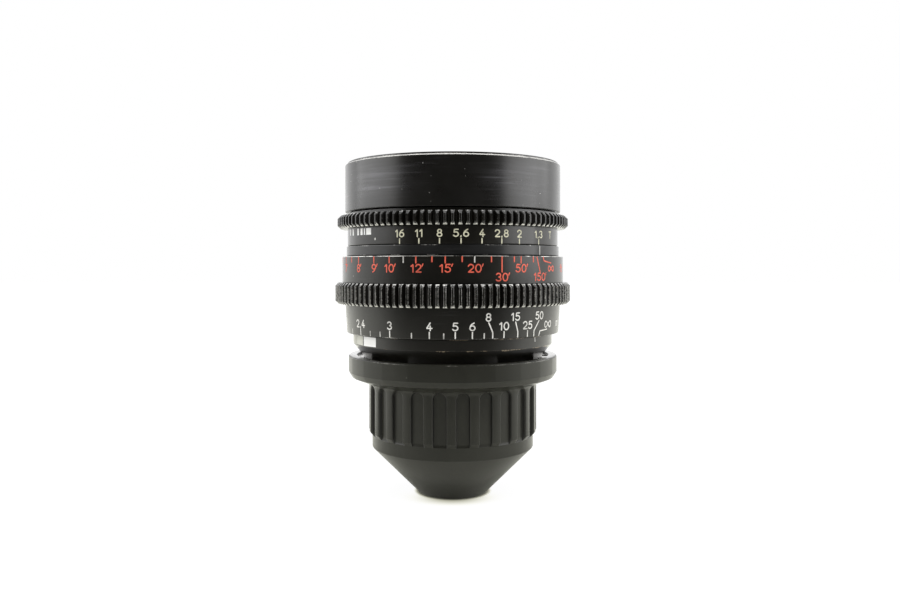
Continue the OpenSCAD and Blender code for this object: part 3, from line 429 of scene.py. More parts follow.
@byName
def capShell(s):
    # the outer radius follows the profile r(z), and inside a flute it drops to the bell's radius
    # distance from a flute's outline: |x| - half below the round head, hypot(x, z - head) - half in it
    top = span("rear_cap")[1]
    outer, outerWear = roundedProfile(
        [[s.footR, 0, 0, .6], [s.bellR, s.coneTop, .8, .1], [s.bellR, s.bandTop, .3],
         [s.ribR, s.ribFoot, .4, .5], [s.ribR, s.blend, 1.6], [s.skirtR, s.skirt, .4],
         [s.rimR, s.rimFoot, .12, .2], [s.rimR, top - s.bevel, .2, 1.0, .6],
         [s.rimR - s.bevel, top, 0, .9, .5]], loop=False, steps=6)
    away, drop, worn, rubbed = fluteEdge.T
    half = s.fluteWidth / 2
    head = half * np.sin(np.radians(np.linspace(0, s.headArc, s.headRows)))
    level = np.concatenate([outer[:, 1], s.headMiddle + np.append(head, half + away)])
    level = np.unique(np.round(level, 4))
    radius = np.interp(level, outer[:, 1], outer[:, 0])
    wear = np.interp(level, outer[:, 1], outerWear)
    up = np.maximum(level - s.headMiddle, 0)
    # columns of one flute: bottom, wall with two small fillets, rib
    pitch = fullTurn / s.flutes
    reference = .5 * (s.bellR + s.ribR)
    wall = np.sqrt(np.maximum((half + away[1:, None]) ** 2 - up[None] ** 2, 0))
    wall = np.maximum(wall, s.leastStep * np.arange(2, len(away) + 1)[:, None])
    bottom = np.array([-.5, 0, .5])[:, None] * wall[:1]
    across = np.concatenate([-wall[::-1], bottom, wall, np.full((1, len(level)), pitch * reference / 2)])
    outline = np.hypot(across, up[None]) - half
    ribbed = radius[None] > s.bellR + s.ribFrom
    depth, edge, rub = [np.interp(outline, away, value) * ribbed for value in (drop, worn, rubbed)]
    ring = radius[None] - depth * np.maximum(radius[None] - s.bellR, 0)
    middle = (np.arange(s.flutes)[:, None, None] + .5) * pitch
    angle = middle + across[None] / reference + math.radians(s.turn)
    cols = s.flutes * across.shape[0]
    ring = np.broadcast_to(ring, angle.shape).reshape(cols, -1)
    angle = angle.reshape(cols, -1)
    # wear below nought, the painted shade in the flute's corners, is kept as it is
    edge = np.where(edge < 0, edge, np.maximum(edge, wear[None]))
    edge, rub = [np.tile(value, (s.flutes, 1)) for value in (edge, rub)]
    footIn = s.floor + s.footR - s.wall * math.sqrt(2)
    inner, innerWear = roundedProfile(
        [[s.rimR - s.bevel, top, 0, .9, .5], [s.socketR, top, .3, .8, .2], [s.socketR, s.seat, .15],
         [s.boreR, s.seat, .3, .3], [s.boreR, s.boreR - footIn + s.floor, .6],
         [footIn, s.floor, .6], [s.poleR, s.floor, 0]], loop=False)
    inner, innerWear = inner[1:], innerWear[1:]
    rest = np.broadcast_to(angle[:, -1:], (cols, len(inner)))
    points = np.concatenate([swing(s.poleR, 0.0, angle[:, :1]), swing(ring, level[None], angle),
                             swing(inner[:, 0][None], inner[:, 1][None], rest)], 1)
    wear = np.concatenate([np.zeros((cols, 1)), edge, np.tile(innerWear, (cols, 1))], 1)
    scuff = np.concatenate([np.zeros((cols, 1)), rub, np.zeros((cols, len(inner)))], 1)
    # the rim's top face is rubbed smooth
    onTop = points[..., 2] > top - s.topFlat
    smooth = np.append(onTop[:, :-1] & onTop[:, 1:], np.zeros(2 * cols))
    faces = closedFaces(cols, points.shape[1])
    points = np.vstack([points.reshape(-1, 3), [[0, 0, 0], [0, 0, s.floor]]])
    fields = {"wear": np.append(wear.ravel(), [0, 0]), "scuff": np.append(scuff.ravel(), [0, 0])}
    makePiece("cap_shell", points, faces, capMoulding, "rear_cap", ["rear_cap"], fields,
              sharp=50, trim=(rimPolish, smooth))


capShell(capShape)
print("rear cap made")

# turned barrel rings, each a closed profile of corner rows

baseShape = dict(
    boreR=24.9, neckLowR=32.8, neckTopR=36.4, bandR=36.9, sleeveR=35, noseR=33.5, barrelBoreR=31.15,
    neckTop=54.9, bandFoot=55.5, bandTop=59.4, nose=71.7, web=56.5, rubbed=48)


@byName
def baseBarrel(s):
    low, high = span("mount_barrel")
    corners = [[s.boreR, low, .1], [s.neckLowR, low, .12, .2], [s.neckTopR, s.neckTop, .06, .4, .75],
               [s.bandR, s.bandFoot, .1, .85], [s.bandR, s.bandTop, .25, .8], [s.sleeveR, s.bandTop, .1],
               [s.sleeveR, s.nose, .1], [s.noseR, s.nose, .1], [s.noseR, high, .2],
               [s.barrelBoreR, high, .2], [s.barrelBoreR, s.web, .1], [s.boreR, s.web, .2]]
    turnedPiece("base_barrel", corners, baseCoat, "mount_barrel", "mount_barrel", s.rubbed)


focusShape = dict(
    landR=35.05, lowR=39.3, seatR=39.9, upR=41.0, boreR=38.15, pocketR=36.7, gearFoot=70.2, gearTop=77.9,
    nut=74.6, land=71.6)


@byName
def focusRing(s):
    low, high = span("focus_ring")
    corners = [[s.landR, low, .1], [s.lowR, low, .22, .75], [s.seatR, s.gearFoot, 0],
               [s.seatR, s.gearTop, .08], [s.upR, s.gearTop, .2, .7], [s.upR, high, .24, 1.05, .1],
               [s.boreR, high, .15, .3], [s.boreR, s.nut, .1], [s.pocketR, s.nut, .1],
               [s.pocketR, s.land, .1], [s.landR, s.land, .1]]
    turnedPiece("focus_ring_shell", corners, barrelCoat, "focus_ring", "focus_ring")


indexShape = dict(boreR=36.02, skirtInR=37.02, skirtR=37.85, bandR=39.45, bandFoot=87.6)


@byName
def indexBand(s):
    low, high = span("index_band")
    corners = [[s.boreR, s.bandFoot, .05], [s.skirtInR, s.bandFoot, .05], [s.skirtInR, low, .1],
               [s.skirtR, low, .1], [s.skirtR, s.bandFoot, .1], [s.bandR, s.bandFoot, .22, .7],
               [s.bandR, high, .22, .7], [s.boreR, high, .1]]
    turnedPiece("index_band_shell", corners, bandCoat, "lens_block", "index_band")


irisShape = dict(boreR=36.05, scaleR=39.05, seatR=38.2, gearFoot=97.6)


@byName
def irisRing(s):
    low, high = span("iris_ring")
    corners = [[s.boreR, low, .1], [s.scaleR, low, .22, .42], [s.scaleR, s.gearFoot, .12, .4],
               [s.seatR, s.gearFoot, .05], [s.seatR, high, .15, .2], [s.boreR, high, .1]]
    turnedPiece("iris_ring_shell", corners, irisCoat, "iris_ring", "iris_ring")


frontShape = dict(
    tubeR=36.02, wallR=40.0, lipR=39.15, boreR=37.2, collarR=36.42, bevel=1.0, lip=.5, step=1.2,
    collarTop=119.0, blockTop=108.0, pitch=.75, threadDepth=.22, threadRows=30, runOut=.3, wallRows=56,
    segs=400)
# scuffs on its wall: angle, height, half length, half width, strength
frontScuffs = np.array([
    [-41, 110.4, 9.5, .32, 1], [-46, 110.9, 4, .5, .5], [-40, 115.3, 9.5, 1.1, .5], [-30, 113, 4, .25, .4],
    [30, 115.7, 6, .28, .9], [20, 113.3, 4.2, .25, .45], [28, 111.7, 3.4, .3, .4], [-24, 117.4, 5, .3, .3],
    [48, 117.6, 5, .5, .35], [-42, 112.5, 13, 6, .3], [33, 113, 11, 6, .34]])


def moreRows(profile, wear, start, count):
    # evenly spaced points between one point of a profile and the next
    part = np.linspace(0, 1, count + 2)[1:-1]
    rows = profile[start] + part[:, None] * (profile[start + 1] - profile[start])
    worn = wear[start] + part * (wear[start + 1] - wear[start])
    return np.insert(profile, start + 1, rows, 0), np.insert(wear, start + 1, worn)


@byName
def frontBarrel(s):
    # the bore's thread is a triangle wave of z / pitch less one turn for each way round
    low, high = span("front_barrel")
    profile, wear = roundedProfile(
        [[s.tubeR, low, .1], [s.wallR, low, .25, .35], [s.wallR, high - s.bevel, .08, 1.2, 1.55],
         [s.lipR, high - s.lip, .05, .9, .1], [s.lipR, high, .14, .35, .1], [s.boreR, high, .25, .5],
         [s.boreR, s.collarTop + s.step, .1], [s.collarR, s.collarTop, .2, .2],
         [s.collarR, s.blockTop, .1], [s.tubeR, s.blockTop, .1]])
    gaps = np.hypot(*np.diff(profile, axis=0).T)
    inBore = np.argmax(gaps * (np.abs(profile[:-1, 0] - s.boreR) < tiny))
    profile, wear = moreRows(profile, wear, inBore, s.threadRows)
    onWall = np.argmax(gaps * (np.abs(profile[:len(gaps), 0] - s.wallR) < tiny))
    profile, wear = moreRows(profile, wear, onWall, s.wallRows)
    angle = turns(s.segs)
    phase = (profile[None, :, 1] / s.pitch - angle / fullTurn) % 1
    cut = np.zeros(len(profile))
    thread = np.arange(s.threadRows) + inBore + s.wallRows + 1
    cut[thread] = np.sin(np.linspace(0, math.pi, s.threadRows)) ** s.runOut
    radius = profile[None, :, 0] + cut[None] * s.threadDepth * (1 - 2 * np.abs(2 * phase - 1)) / 2
    points = swing(radius, profile[None, :, 1], angle).reshape(-1, 3)
    # each scuff fades as a bell curve along and across
    middle, height, length, width, strength = frontScuffs.T
    away = (angle - np.radians(middle)[None] + math.pi) % fullTurn - math.pi
    along = np.exp(-(away * s.wallR / length) ** 2)
    across = np.exp(-((profile[:, 1][:, None] - height) / width) ** 2)
    scuff = np.minimum(np.einsum("ik,jk,k->ij", along, across, strength), 1)
    scuff = scuff * (np.abs(profile[None, :, 0] - s.wallR) < small)
    makePiece("front_barrel_shell", points, [gridFaces(s.segs, len(profile))], frontCoat, "lens_block",
              ["front_barrel"], {"wear": np.tile(wear, s.segs), "scuff": scuff})


baseBarrel(baseShape)
focusRing(focusShape)
indexBand(indexShape)
irisRing(irisShape)
frontBarrel(frontShape)
print("barrel rings made")

# drive gears: the radius is the tooth outline round the ring, cut down towards both ends by the bevel

focusGearShape = dict(
    node="focus_gear", name="focus_gear_teeth", body="focus_ring", teeth=107, tipR=43.6, rootR=41.8,
    boreR=39.92, bevel=1.1, module=.8, pressure=20, tip=.06, endTip=.012, land=.5, edge=.84, ends=(.86, .8))
irisGearShape = dict(
    focusGearShape, node="iris_gear", name="iris_gear_teeth", body="iris_ring", teeth=105, tipR=42.8,
    rootR=41.0, boreR=38.22, land=.36, edge=.6, ends=(.9, .68))


@byName
def gearRing(s):
    # half a tooth at radius r spans (pi m / 4 - (r - pitch radius) tan pressure angle) / r
    # at both ends the bevel cuts it down to cutR, so the end rows keep the width that the tooth has there
    low, high = span(s.node)
    pitchR, cutR = s.module * s.teeth / 2, s.tipR - s.bevel
    level = np.array([s.rootR, cutR, s.tipR - s.tip, s.tipR])
    half = (math.pi * s.module / 4 - (level - pitchR) * math.tan(math.radians(s.pressure))) / level
    half[3] -= s.tip / s.tipR
    endHalf = np.array([half[0], half[1], half[1] - s.endTip / cutR, half[1] - s.tip / cutR])
    pitch = fullTurn / s.teeth

    def bothSides(value, first, sign):
        return np.concatenate([[first], value, sign * np.asarray(value)[::-1]])
    midAngle, endAngle = bothSides(-half, -pitch / 2, -1), bothSides(-endHalf, -pitch / 2, -1)
    midR = bothSides(level, s.rootR, 1)
    endR = np.minimum(midR, cutR)
    midWear = bothSides([0, .2, s.edge, s.land], 0, 1)
    lowWear, highWear = [bothSides([0, .4, worn, worn], 0, 1) for worn in s.ends]
    # rows: end, bevel, bevel, end, then the bore
    rows = np.array([low, low + s.bevel, high - s.bevel, high, high, low])
    bore = np.full(len(midR), s.boreR)
    angle = np.stack([endAngle, midAngle, midAngle, endAngle, midAngle, midAngle], -1)
    radius = np.stack([endR, midR, midR, endR, bore, bore], -1)
    wear = np.stack([lowWear, midWear, midWear, highWear, 0 * bore, 0 * bore], -1)
    turn = np.arange(s.teeth)[:, None, None] * pitch
    points = swing(radius[None], rows[None, None], angle[None] + turn).reshape(-1, 3)
    makePiece(s.name, points, [gridFaces(len(bore) * s.teeth, len(rows))], gearCoat, s.body,
              [s.node], {"wear": np.tile(wear.ravel(), s.teeth)}, sharp=24)


gearRing(focusGearShape)
gearRing(irisGearShape)
print("gears made")

# glass: each element is a disc between two faces of revolution, z = vertex -+ (c - sqrt(c^2 - r^2))

glassRows, glassSegs, glassFirst = 28, 128, .05
glassShapes = [
    dict(node="front_element", radius=34.5, top=110, topR=34.5, bottom=0, bottomR=34.5),
    dict(node="second_element", radius=29.5, top=62, topR=29.5, bottom=0, bottomR=29.5),
    dict(node="third_element", radius=29.5, top=0, topR=29.5, bottom=-130, bottomR=26),
    dict(node="fourth_element", radius=25, top=-60, topR=22.5, bottom=0, bottomR=25),
    dict(node="fifth_element", radius=25, top=0, topR=25, bottom=55, bottomR=25),
    dict(node="sixth_element", radius=24, top=120, topR=24, bottom=80, bottomR=24),
    dict(node="rear_element", radius=21.5, top=70, topR=21.5, bottom=200, bottomR=21.5)]


def sagging(curve, r, full):
    # depth below the highest point of a face that bulges out, or from the rim down into a hollow
    if not curve:
        return 0 * r
    sag = abs(curve) - np.sqrt(curve ** 2 - r ** 2)
    return sag if curve > 0 else abs(curve) - math.sqrt(curve ** 2 - full ** 2) - sag


@byName
def glassElement(s):
    low, high = span(s.node)
    r = np.sin(np.linspace(glassFirst, 1, glassRows) * math.pi / 2)
    below = np.stack([r * s.bottomR, low + sagging(s.bottom, r * s.bottomR, s.bottomR)], -1)
    above = np.stack([r * s.topR, high - sagging(s.top, r * s.topR, s.topR)], -1)[::-1]
    sides = [below]
    if s.bottomR < s.radius:
        sides.append([[s.radius, below[-1, 1]]])
    if s.topR < s.radius:
        sides.append([[s.radius, above[0, 1]]])
    profile = np.vstack(sides + [above])
    poles = [[0, 0, low + sagging(s.bottom, 0.0, s.bottomR)], [0, 0, high - sagging(s.top, 0.0, s.topR)]]
    points = np.vstack([revolve(profile, glassSegs), poles])
    finish = frontGlass if s.node == "front_element" else innerGlass
    makePiece(s.node + "_glass", points, closedFaces(glassSegs, len(profile)), finish, "lens_block",
              [s.node], sharp=30)


for shape in glassShapes:
    glassElement(shape)
print("glass made:", len(glassShapes))

# filled scales: strokes with round ends laid on the rings

inkStyle = dict(half=.25, step=.14, gap=.3, markGap=.4, widen=1.12, blunt=.2)


def bow(cx, cy, rx, ry, start, end, count=16):
    t = np.radians(np.linspace(start, end, count))
    return np.stack([cx + rx * np.cos(t), cy + ry * np.sin(t)], -1)


def hook(a, b, c, count=12):
    # quadratic curve from a to c that leans towards b
    t = np.linspace(0, 1, count)[:, None]
    return (1 - t) ** 2 * np.array(a) + 2 * t * (1 - t) * np.array(b) + t ** 2 * np.array(c)


def pen(*parts):
    return ("line", np.vstack(parts))


def ring(cx, cy, rx, ry, count=24):
    # the last point stops one step short, where the loop closes itself
    return ("loop", bow(cx, cy, rx, ry, 0, 360 - 360 / count, count))


# each glyph has a width and its strokes, in a cell one unit high; ~ is the far mark, a lying eight
six = [ring(.31, .31, .31, .31), pen(hook((.5, 1), (.06, .8), (.005, .34)))]
lyingTurn = np.linspace(0, fullTurn, 40)[:-1]
glyphs = {
    "0": (.64, [ring(.32, .5, .32, .5)]),
    "1": (.34, [pen([[.02, .76], [.26, 1], [.26, 0]])]),
    "2": (.62, [pen(bow(.31, .69, .3, .31, 165, -38), [[.02, 0], [.62, 0]])]),
    "3": (.6, [pen(bow(.29, .75, .27, .25, 155, -90), bow(.29, .25, .31, .25, 90, -155))]),
    "4": (.64, [pen([[.44, 1], [0, .28], [.64, .28]]), pen([[.44, .58], [.44, 0]])]),
    "5": (.61, [pen([[.56, 1], [.12, 1], [.07, .56]], bow(.29, .32, .32, .32, 128, -150))]),
    "6": (.62, six),
    "7": (.6, [pen([[0, 1], [.6, 1], [.2, 0]])]),
    "8": (.58, [ring(.29, .76, .24, .24), ring(.29, .265, .29, .265)]),
    "9": (.62, [(kind, np.array([.62, 1]) - path) for kind, path in six]),
    ".": (.16, [pen([[.09, .05], [.05, -.06]])]),
    "'": (.2, [pen([[.14, 1.04], [.04, .78]])]),
    "~": (2, [("loop", np.stack([1 + np.cos(lyingTurn), .5 + .5 * np.sin(2 * lyingTurn)], -1))]),
    "T": (.66, [pen([[0, 1], [.66, 1]]), pen([[.33, 1], [.33, 0]])]),
    "m": (.86, [pen([[0, 0], [0, .66]]), pen([[0, .42]], bow(.22, .44, .21, .22, 170, 0), [[.43, 0]]),
                pen([[.43, .42]], bow(.65, .44, .21, .22, 170, 0), [[.86, 0]])]),
    "f": (.38, [pen(bow(.3, .8, .16, .2, 60, 180), [[.14, 0]]), pen([[0, .62], [.34, .62]])]),
    "t": (.36, [pen([[.14, .9], [.14, .18]], bow(.28, .17, .14, .17, 180, 290)),
                pen([[0, .62], [.34, .62]])])}


def lettering(text, angle, foot, height, radius):
    # strokes of a text centred on an angle, as distance round the ring and height
    # a foot mark hangs beside its number
    tall = height * np.array([inkStyle["widen"], 1])
    gap = inkStyle["gap"] * height
    widths = [glyphs[c][0] * tall[0] for c in text]
    centred = len(text.rstrip("'"))
    place = math.radians(angle) * radius - (sum(widths[:centred]) + gap * (centred - 1)) / 2
    strokes = []
    for c, width in zip(text, widths):
        strokes += [(kind, path * tall + [place, foot]) for kind, path in glyphs[c][1]]
        beforeMark = c == text[centred - 1] and centred < len(text)
        place += width + gap * (inkStyle["markGap"] if beforeMark else 1)
    return strokes


def leader(radius, *stops):
    # a bent line through stops given as angle and height
    return pen([[math.radians(a) * radius, z] for a, z in stops])


def tick(angle, low, high, radius):
    return leader(radius, (angle, low), (angle, high))


def inkMesh(strokes, wall, radius, half):
    # each stroke is a low rounded ribbon: its cross section is carried along the path, at r = R(z) + lift
    side = np.array([-1, -.78, 0, .78, 1, 0])
    lift = np.array([-.03, .018, .028, .018, -.03, -.06])
    endFan = np.array([[0, 5, 4], [0, 4, 3], [0, 3, 2], [0, 2, 1]])
    cap = np.radians([85, 60, 30])
    wide = len(side)
    points, quads, fans, base = [], [], [], 0
    for kind, path in strokes:
        loop = kind == "loop"
        path = np.vstack([path, path[:1]]) if loop else path
        run = np.concatenate([[0], np.cumsum(np.hypot(*np.diff(path, axis=0).T))])
        count = max(3, int(run[-1] / inkStyle["step"]) + 1)
        where = np.linspace(0, run[-1], count + loop)[:count]
        line = np.stack([np.interp(where, run, path[:, 0]), np.interp(where, run, path[:, 1])], -1)
        if loop:
            ahead = np.roll(line, -1, 0) - np.roll(line, 1, 0)
            reach = np.ones(count)
        else:
            ahead = np.gradient(line, axis=0)
            ahead = ahead / np.linalg.norm(ahead, axis=1)[:, None]
            line = np.vstack([line[0] - ahead[0] * half * np.sin(cap)[:, None], line,
                              line[-1] + ahead[-1] * half * np.sin(cap[::-1])[:, None]])
            reach = np.concatenate([np.cos(cap), np.ones(count), np.cos(cap[::-1])])
            ahead = np.vstack([np.tile(ahead[0], (len(cap), 1)), ahead, np.tile(ahead[-1], (len(cap), 1))])
        ahead = ahead / np.linalg.norm(ahead, axis=1)[:, None]
        across = np.stack([ahead[:, 1], -ahead[:, 0]], -1)  # to the right of the pen's way
        flat = line[:, None] + across[:, None] * (side[None, :, None] * (half * reach)[:, None, None])
        low = np.minimum(1, reach + inkStyle["blunt"])[:, None]
        high = np.where(side[None] == 0, lift[None], lift[None] * low)
        spots = swing(wall(flat[..., 1]) + high, flat[..., 1], flat[..., 0] / radius)
        points.append(spots.reshape(-1, 3))
        n = len(line)
        i = np.arange(n if loop else n - 1)[:, None]
        k = np.arange(wide)[None]
        m, o = (i + 1) % n, (k + 1) % wide
        sheet = np.stack([i * wide + k, i * wide + o, m * wide + o, m * wide + k], -1)
        quads.append(sheet.reshape(-1, 4) + base)
        if not loop:
            fans += [endFan + base, endFan[:, ::-1] + base + (n - 1) * wide]
        base += n * wide
    return np.vstack(points), [np.vstack(kinds) for kinds in (quads, fans) if kinds]


def inkPiece(name, strokes, radius, finish, body, half=inkStyle["half"], wall=None):
    # wall gives the radius at each height where the ring is a cone
    points, faces = inkMesh(strokes, wall or (lambda z: np.full_like(z, radius)), radius, half)
    makePiece(name, points, faces, finish, body, sharp=60)


def numbered(s, text, angle):
    # a number with its tick
    mark = tick(angle, s.tickLow, s.tickHigh, s.radius)
    return lettering(text, angle, s.foot, s.height, s.radius) + [mark]


def farEnd(s, unit):
    # the far mark with its line, and the unit
    far = lettering("~", s.farAngle, s.farFoot, s.farHeight, s.radius)
    return far + [leader(s.radius, *s.farLine)] + lettering(unit, s.unit, s.foot, s.height, s.radius)


stopScale = dict(
    radius=39.05, foot=93.75, height=2.3, tickLow=91.55, tickHigh=93.0, unit=61.6,
    stops=[("16", -27.1), ("11", -16.7), ("8", -6.4), ("5.6", 4.05), ("4", 14.4), ("2.8", 24.85),
           ("2", 35.3), ("1.3", 49.6)])


@byName
def stopMarks(s):
    strokes = []
    for text, angle in s.stops:
        strokes += numbered(s, text, angle)
    strokes += lettering("T", s.unit, s.foot, s.height, s.radius)
    inkPiece("stop_scale", strokes, s.radius, creamInk, "iris_ring")


# distance scales: the ring turns back from the far stop by gain / (metres - offset) degrees
helicoid = dict(zero=49.7, gain=235.8, offset=.135, foot=.3048)


def distanceAngle(metres):
    return helicoid["zero"] - helicoid["gain"] / (metres - helicoid["offset"])


footScale = dict(
    radius=41.0, foot=81.95, lowFoot=79.0, lowGap=.5, height=2.5, tickLow=85.0, tickHigh=87.0,
    marks="3 3.5 4 4.5 5 6 7 8 9 10 12 15 50".split(),
    plain=[3.25, 3.75, 4.25, 4.75, 5.5, 6.5, 7.5, 13.5, 17.5, 25, 40, 100], plainCut=.4, faint=[11, 20],
    faintCut=.2, lastAside=2.2, lastLean=2.4, farFoot=82.2, farHeight=1.75, farAngle=56.8,
    farLine=((49.5, 87.0), (50.2, 85.7), (56.6, 85.0)), unit=72)


@byName
def footMarks(s):
    def at(feet):
        return distanceAngle(float(feet) * helicoid["foot"])

    def write(text, angle, foot):
        return lettering(text, angle, foot, s.height, s.radius)
    lowTop = s.lowFoot + s.height + s.lowGap
    strokes = []
    for text in s.marks:
        strokes += numbered(s, text + "'", at(text))
    strokes += write("20'", at(20), s.foot)
    strokes += write("30'", at(30), s.lowFoot)
    strokes.append(tick(at(30), lowTop, s.tickHigh, s.radius))
    strokes += write("150'", at(150) + s.lastAside, s.lowFoot)
    strokes.append(leader(s.radius, (at(150), s.tickHigh), (at(150) + s.lastLean, lowTop)))
    strokes += [tick(at(d), s.tickLow + s.plainCut, s.tickHigh, s.radius) for d in s.plain]
    strokes += farEnd(s, "ft")
    inkPiece("foot_scale", strokes, s.radius, redInk, "focus_ring")
    worn = [tick(at(d), s.tickLow + s.faintCut, s.tickHigh, s.radius) for d in s.faint]
    inkPiece("foot_ticks_worn", worn, s.radius, faintInk, "focus_ring")


metreScale = dict(
    lowR=39.3, highR=39.9, lowZ=59.6, highZ=70.2, radius=39.5, foot=62.65, highFoot=65.7, height=2.45,
    tickLow=60.05, tickHigh=62.0, plainHigh=61.5,
    marks="0.9 1 1.1 1.2 1.3 1.4 1.5 1.6 1.8 2 2.4 3 4 5 6 10 25".split(),
    highMarks=[("8", -2.3), ("15", -1.6), ("50", 4.0)], elbow=61.8, highGap=.6, lean=.92,
    plain=[2.2, 2.6, 2.8, 3.5, 4.5, 7], farFoot=62.6, farHeight=2.1, farAngle=57.6,
    farLine=((49.1, 60.05), (49.8, 61.5), (56.4, 61.9)), unit=71)


@byName
def metreMarks(s):
    slope = (s.highR - s.lowR) / (s.highZ - s.lowZ)

    def cone(z):
        return s.lowR + slope * (z - s.lowZ)
    strokes = []
    for text in s.marks:
        strokes += numbered(s, text, distanceAngle(float(text)))
    for text, aside in s.highMarks:
        angle = distanceAngle(float(text))
        strokes += lettering(text, angle + aside, s.highFoot, s.height, s.radius)
        strokes.append(leader(s.radius, (angle, s.tickLow), (angle, s.elbow),
                              (angle + s.lean * aside, s.highFoot - s.highGap)))
    strokes += farEnd(s, "m")
    inkPiece("metre_scale", strokes, s.radius, whiteInk, "focus_ring", wall=cone)
    worn = [tick(distanceAngle(d), s.tickLow, s.plainHigh, s.radius) for d in s.plain]
    inkPiece("metre_ticks_worn", worn, s.radius, faintInk, "focus_ring", wall=cone)


indexMarks = [
    dict(name="index_line", body="lens_block", radius=39.45, angle=49.7, low=87.9, high=90.8, half=.2),
    dict(name="base_index", body="mount_barrel", radius=36.9, angle=50.9, low=57.75, high=58.95, half=.2),
    dict(name="setting_dot", body="iris_ring", radius=39.05, angle=-42.8, low=93.08, high=93.32, half=.32)]


@byName
def indexMark(s):
    inkPiece(s.name, [tick(s.angle, s.low, s.high, s.radius)], s.radius, whiteInk, s.body, s.half)


# blank stickers: thin sheets bent round a ring between two angles and two heights
stickers = [
    dict(name="iris_sticker", body="iris_ring", radius=39.05, low=94.75, high=97.05, finish=labelStock,
         spans=[(-70.5, -69.2), (-65.7, -64.1), (-59, -57.3), (-55.4, -53.4), (-52.1, -51), (-50, -45.9)]),
    dict(name="base_sticker", body="mount_barrel", radius=36.9, low=55.85, high=59.1, finish=labelStock,
         spans=[(-58, -46)]),
    dict(name="base_sticker_old", body="mount_barrel", radius=36.9, low=55.9, high=59.1,
         finish=oldLabelStock, spans=[(-96, -59.2)])]
stickerSink, stickerRise, stickerStep = .02, .05, 1.5


@byName
def sticker(s):
    # the cross section is a flat box, r - sink to r + rise by low to high, swung through each span
    points, faces, base = [], [], 0
    depth = np.array([-stickerSink, stickerRise, stickerRise, -stickerSink])
    height = np.array([s.low, s.low, s.high, s.high])
    for start, end in s.spans:
        count = max(3, int((end - start) / stickerStep) + 2)
        angle = np.radians(np.linspace(start, end, count))[:, None]
        points.append(swing(s.radius + depth[None], height[None], angle).reshape(-1, 3))
        i, k = np.arange(count - 1)[:, None] * 4, np.arange(4)[None]
        n = (k + 1) % 4
        faces.append(base + np.stack([i + k, i + 4 + k, i + 4 + n, i + n], -1).reshape(-1, 4))
        faces.append(base + np.array([[0, 1, 2, 3], np.array([3, 2, 1, 0]) + 4 * (count - 1)]))
        base += 4 * count
    makePiece(s.name, np.vstack(points), [np.vstack(faces)], s.finish, s.body)


for sheet in stickers:
    sticker(sheet)
stopMarks(stopScale)
footMarks(footScale)
metreMarks(metreScale)
for mark in indexMarks:
    indexMark(mark)
print("scales engraved")

# studio: white sweep, soft lamps, level camera

studio = dict(
    plain=.62, frontGloss=.07, backGloss=1.0, roomFade=(-.62, -.2), shadeTint=(1, .94, .78), floorSize=4,
    floorGlow=.93, glowFade=(.1, .5), floorColour=.14, bounce=.9, farFloor=.1, floorFade=(-.36, -.04),
    sheen=.3, sheenFade=(.08, .3), floorTint=(.9, .9, .8), contact=.0025, contactFade=(.05, .6),
    contactTint=(1, .98, .62), darkest=.02, shadow=.75, reach=.01, camera=(0, -.323, .0838), lens=34.44,
    sensor=36, shift=(-.003, -.0373), clip=.01)


@byName
def studioWorld(s):
    world = bpy.data.worlds.new("white_studio")
    bpy.context.scene.world = world
    world.use_nodes = True
    tree = world.node_tree
    path = addNode(tree, "LightPath")
    glossy = path["Is Glossy Ray"]
    way = addNode(tree, "TexCoord")["Generated"]
    ahead = addNode(tree, "SeparateXYZ", {0: way})["Y"]
    # the room is darker towards the camera than behind and beside the sweep
    room = fade(tree, ahead, *s.roomFade, s.frontGloss, s.backGloss)
    shade = times(tree, glossy, fade(tree, ahead, *s.roomFade, 1, 0))
    seen = calc(tree, "MAXIMUM", path["Is Camera Ray"], path["Is Transmission Ray"])
    lit = calc(tree, "ADD", times(tree, glossy, room), times(tree, less(tree, 1.0, glossy), s.plain))
    plug(tree.nodes["Background"], {"Color": blend(tree, shade, (1, 1, 1), s.shadeTint),
                                    "Strength": calc(tree, "MAXIMUM", seen, lit)})


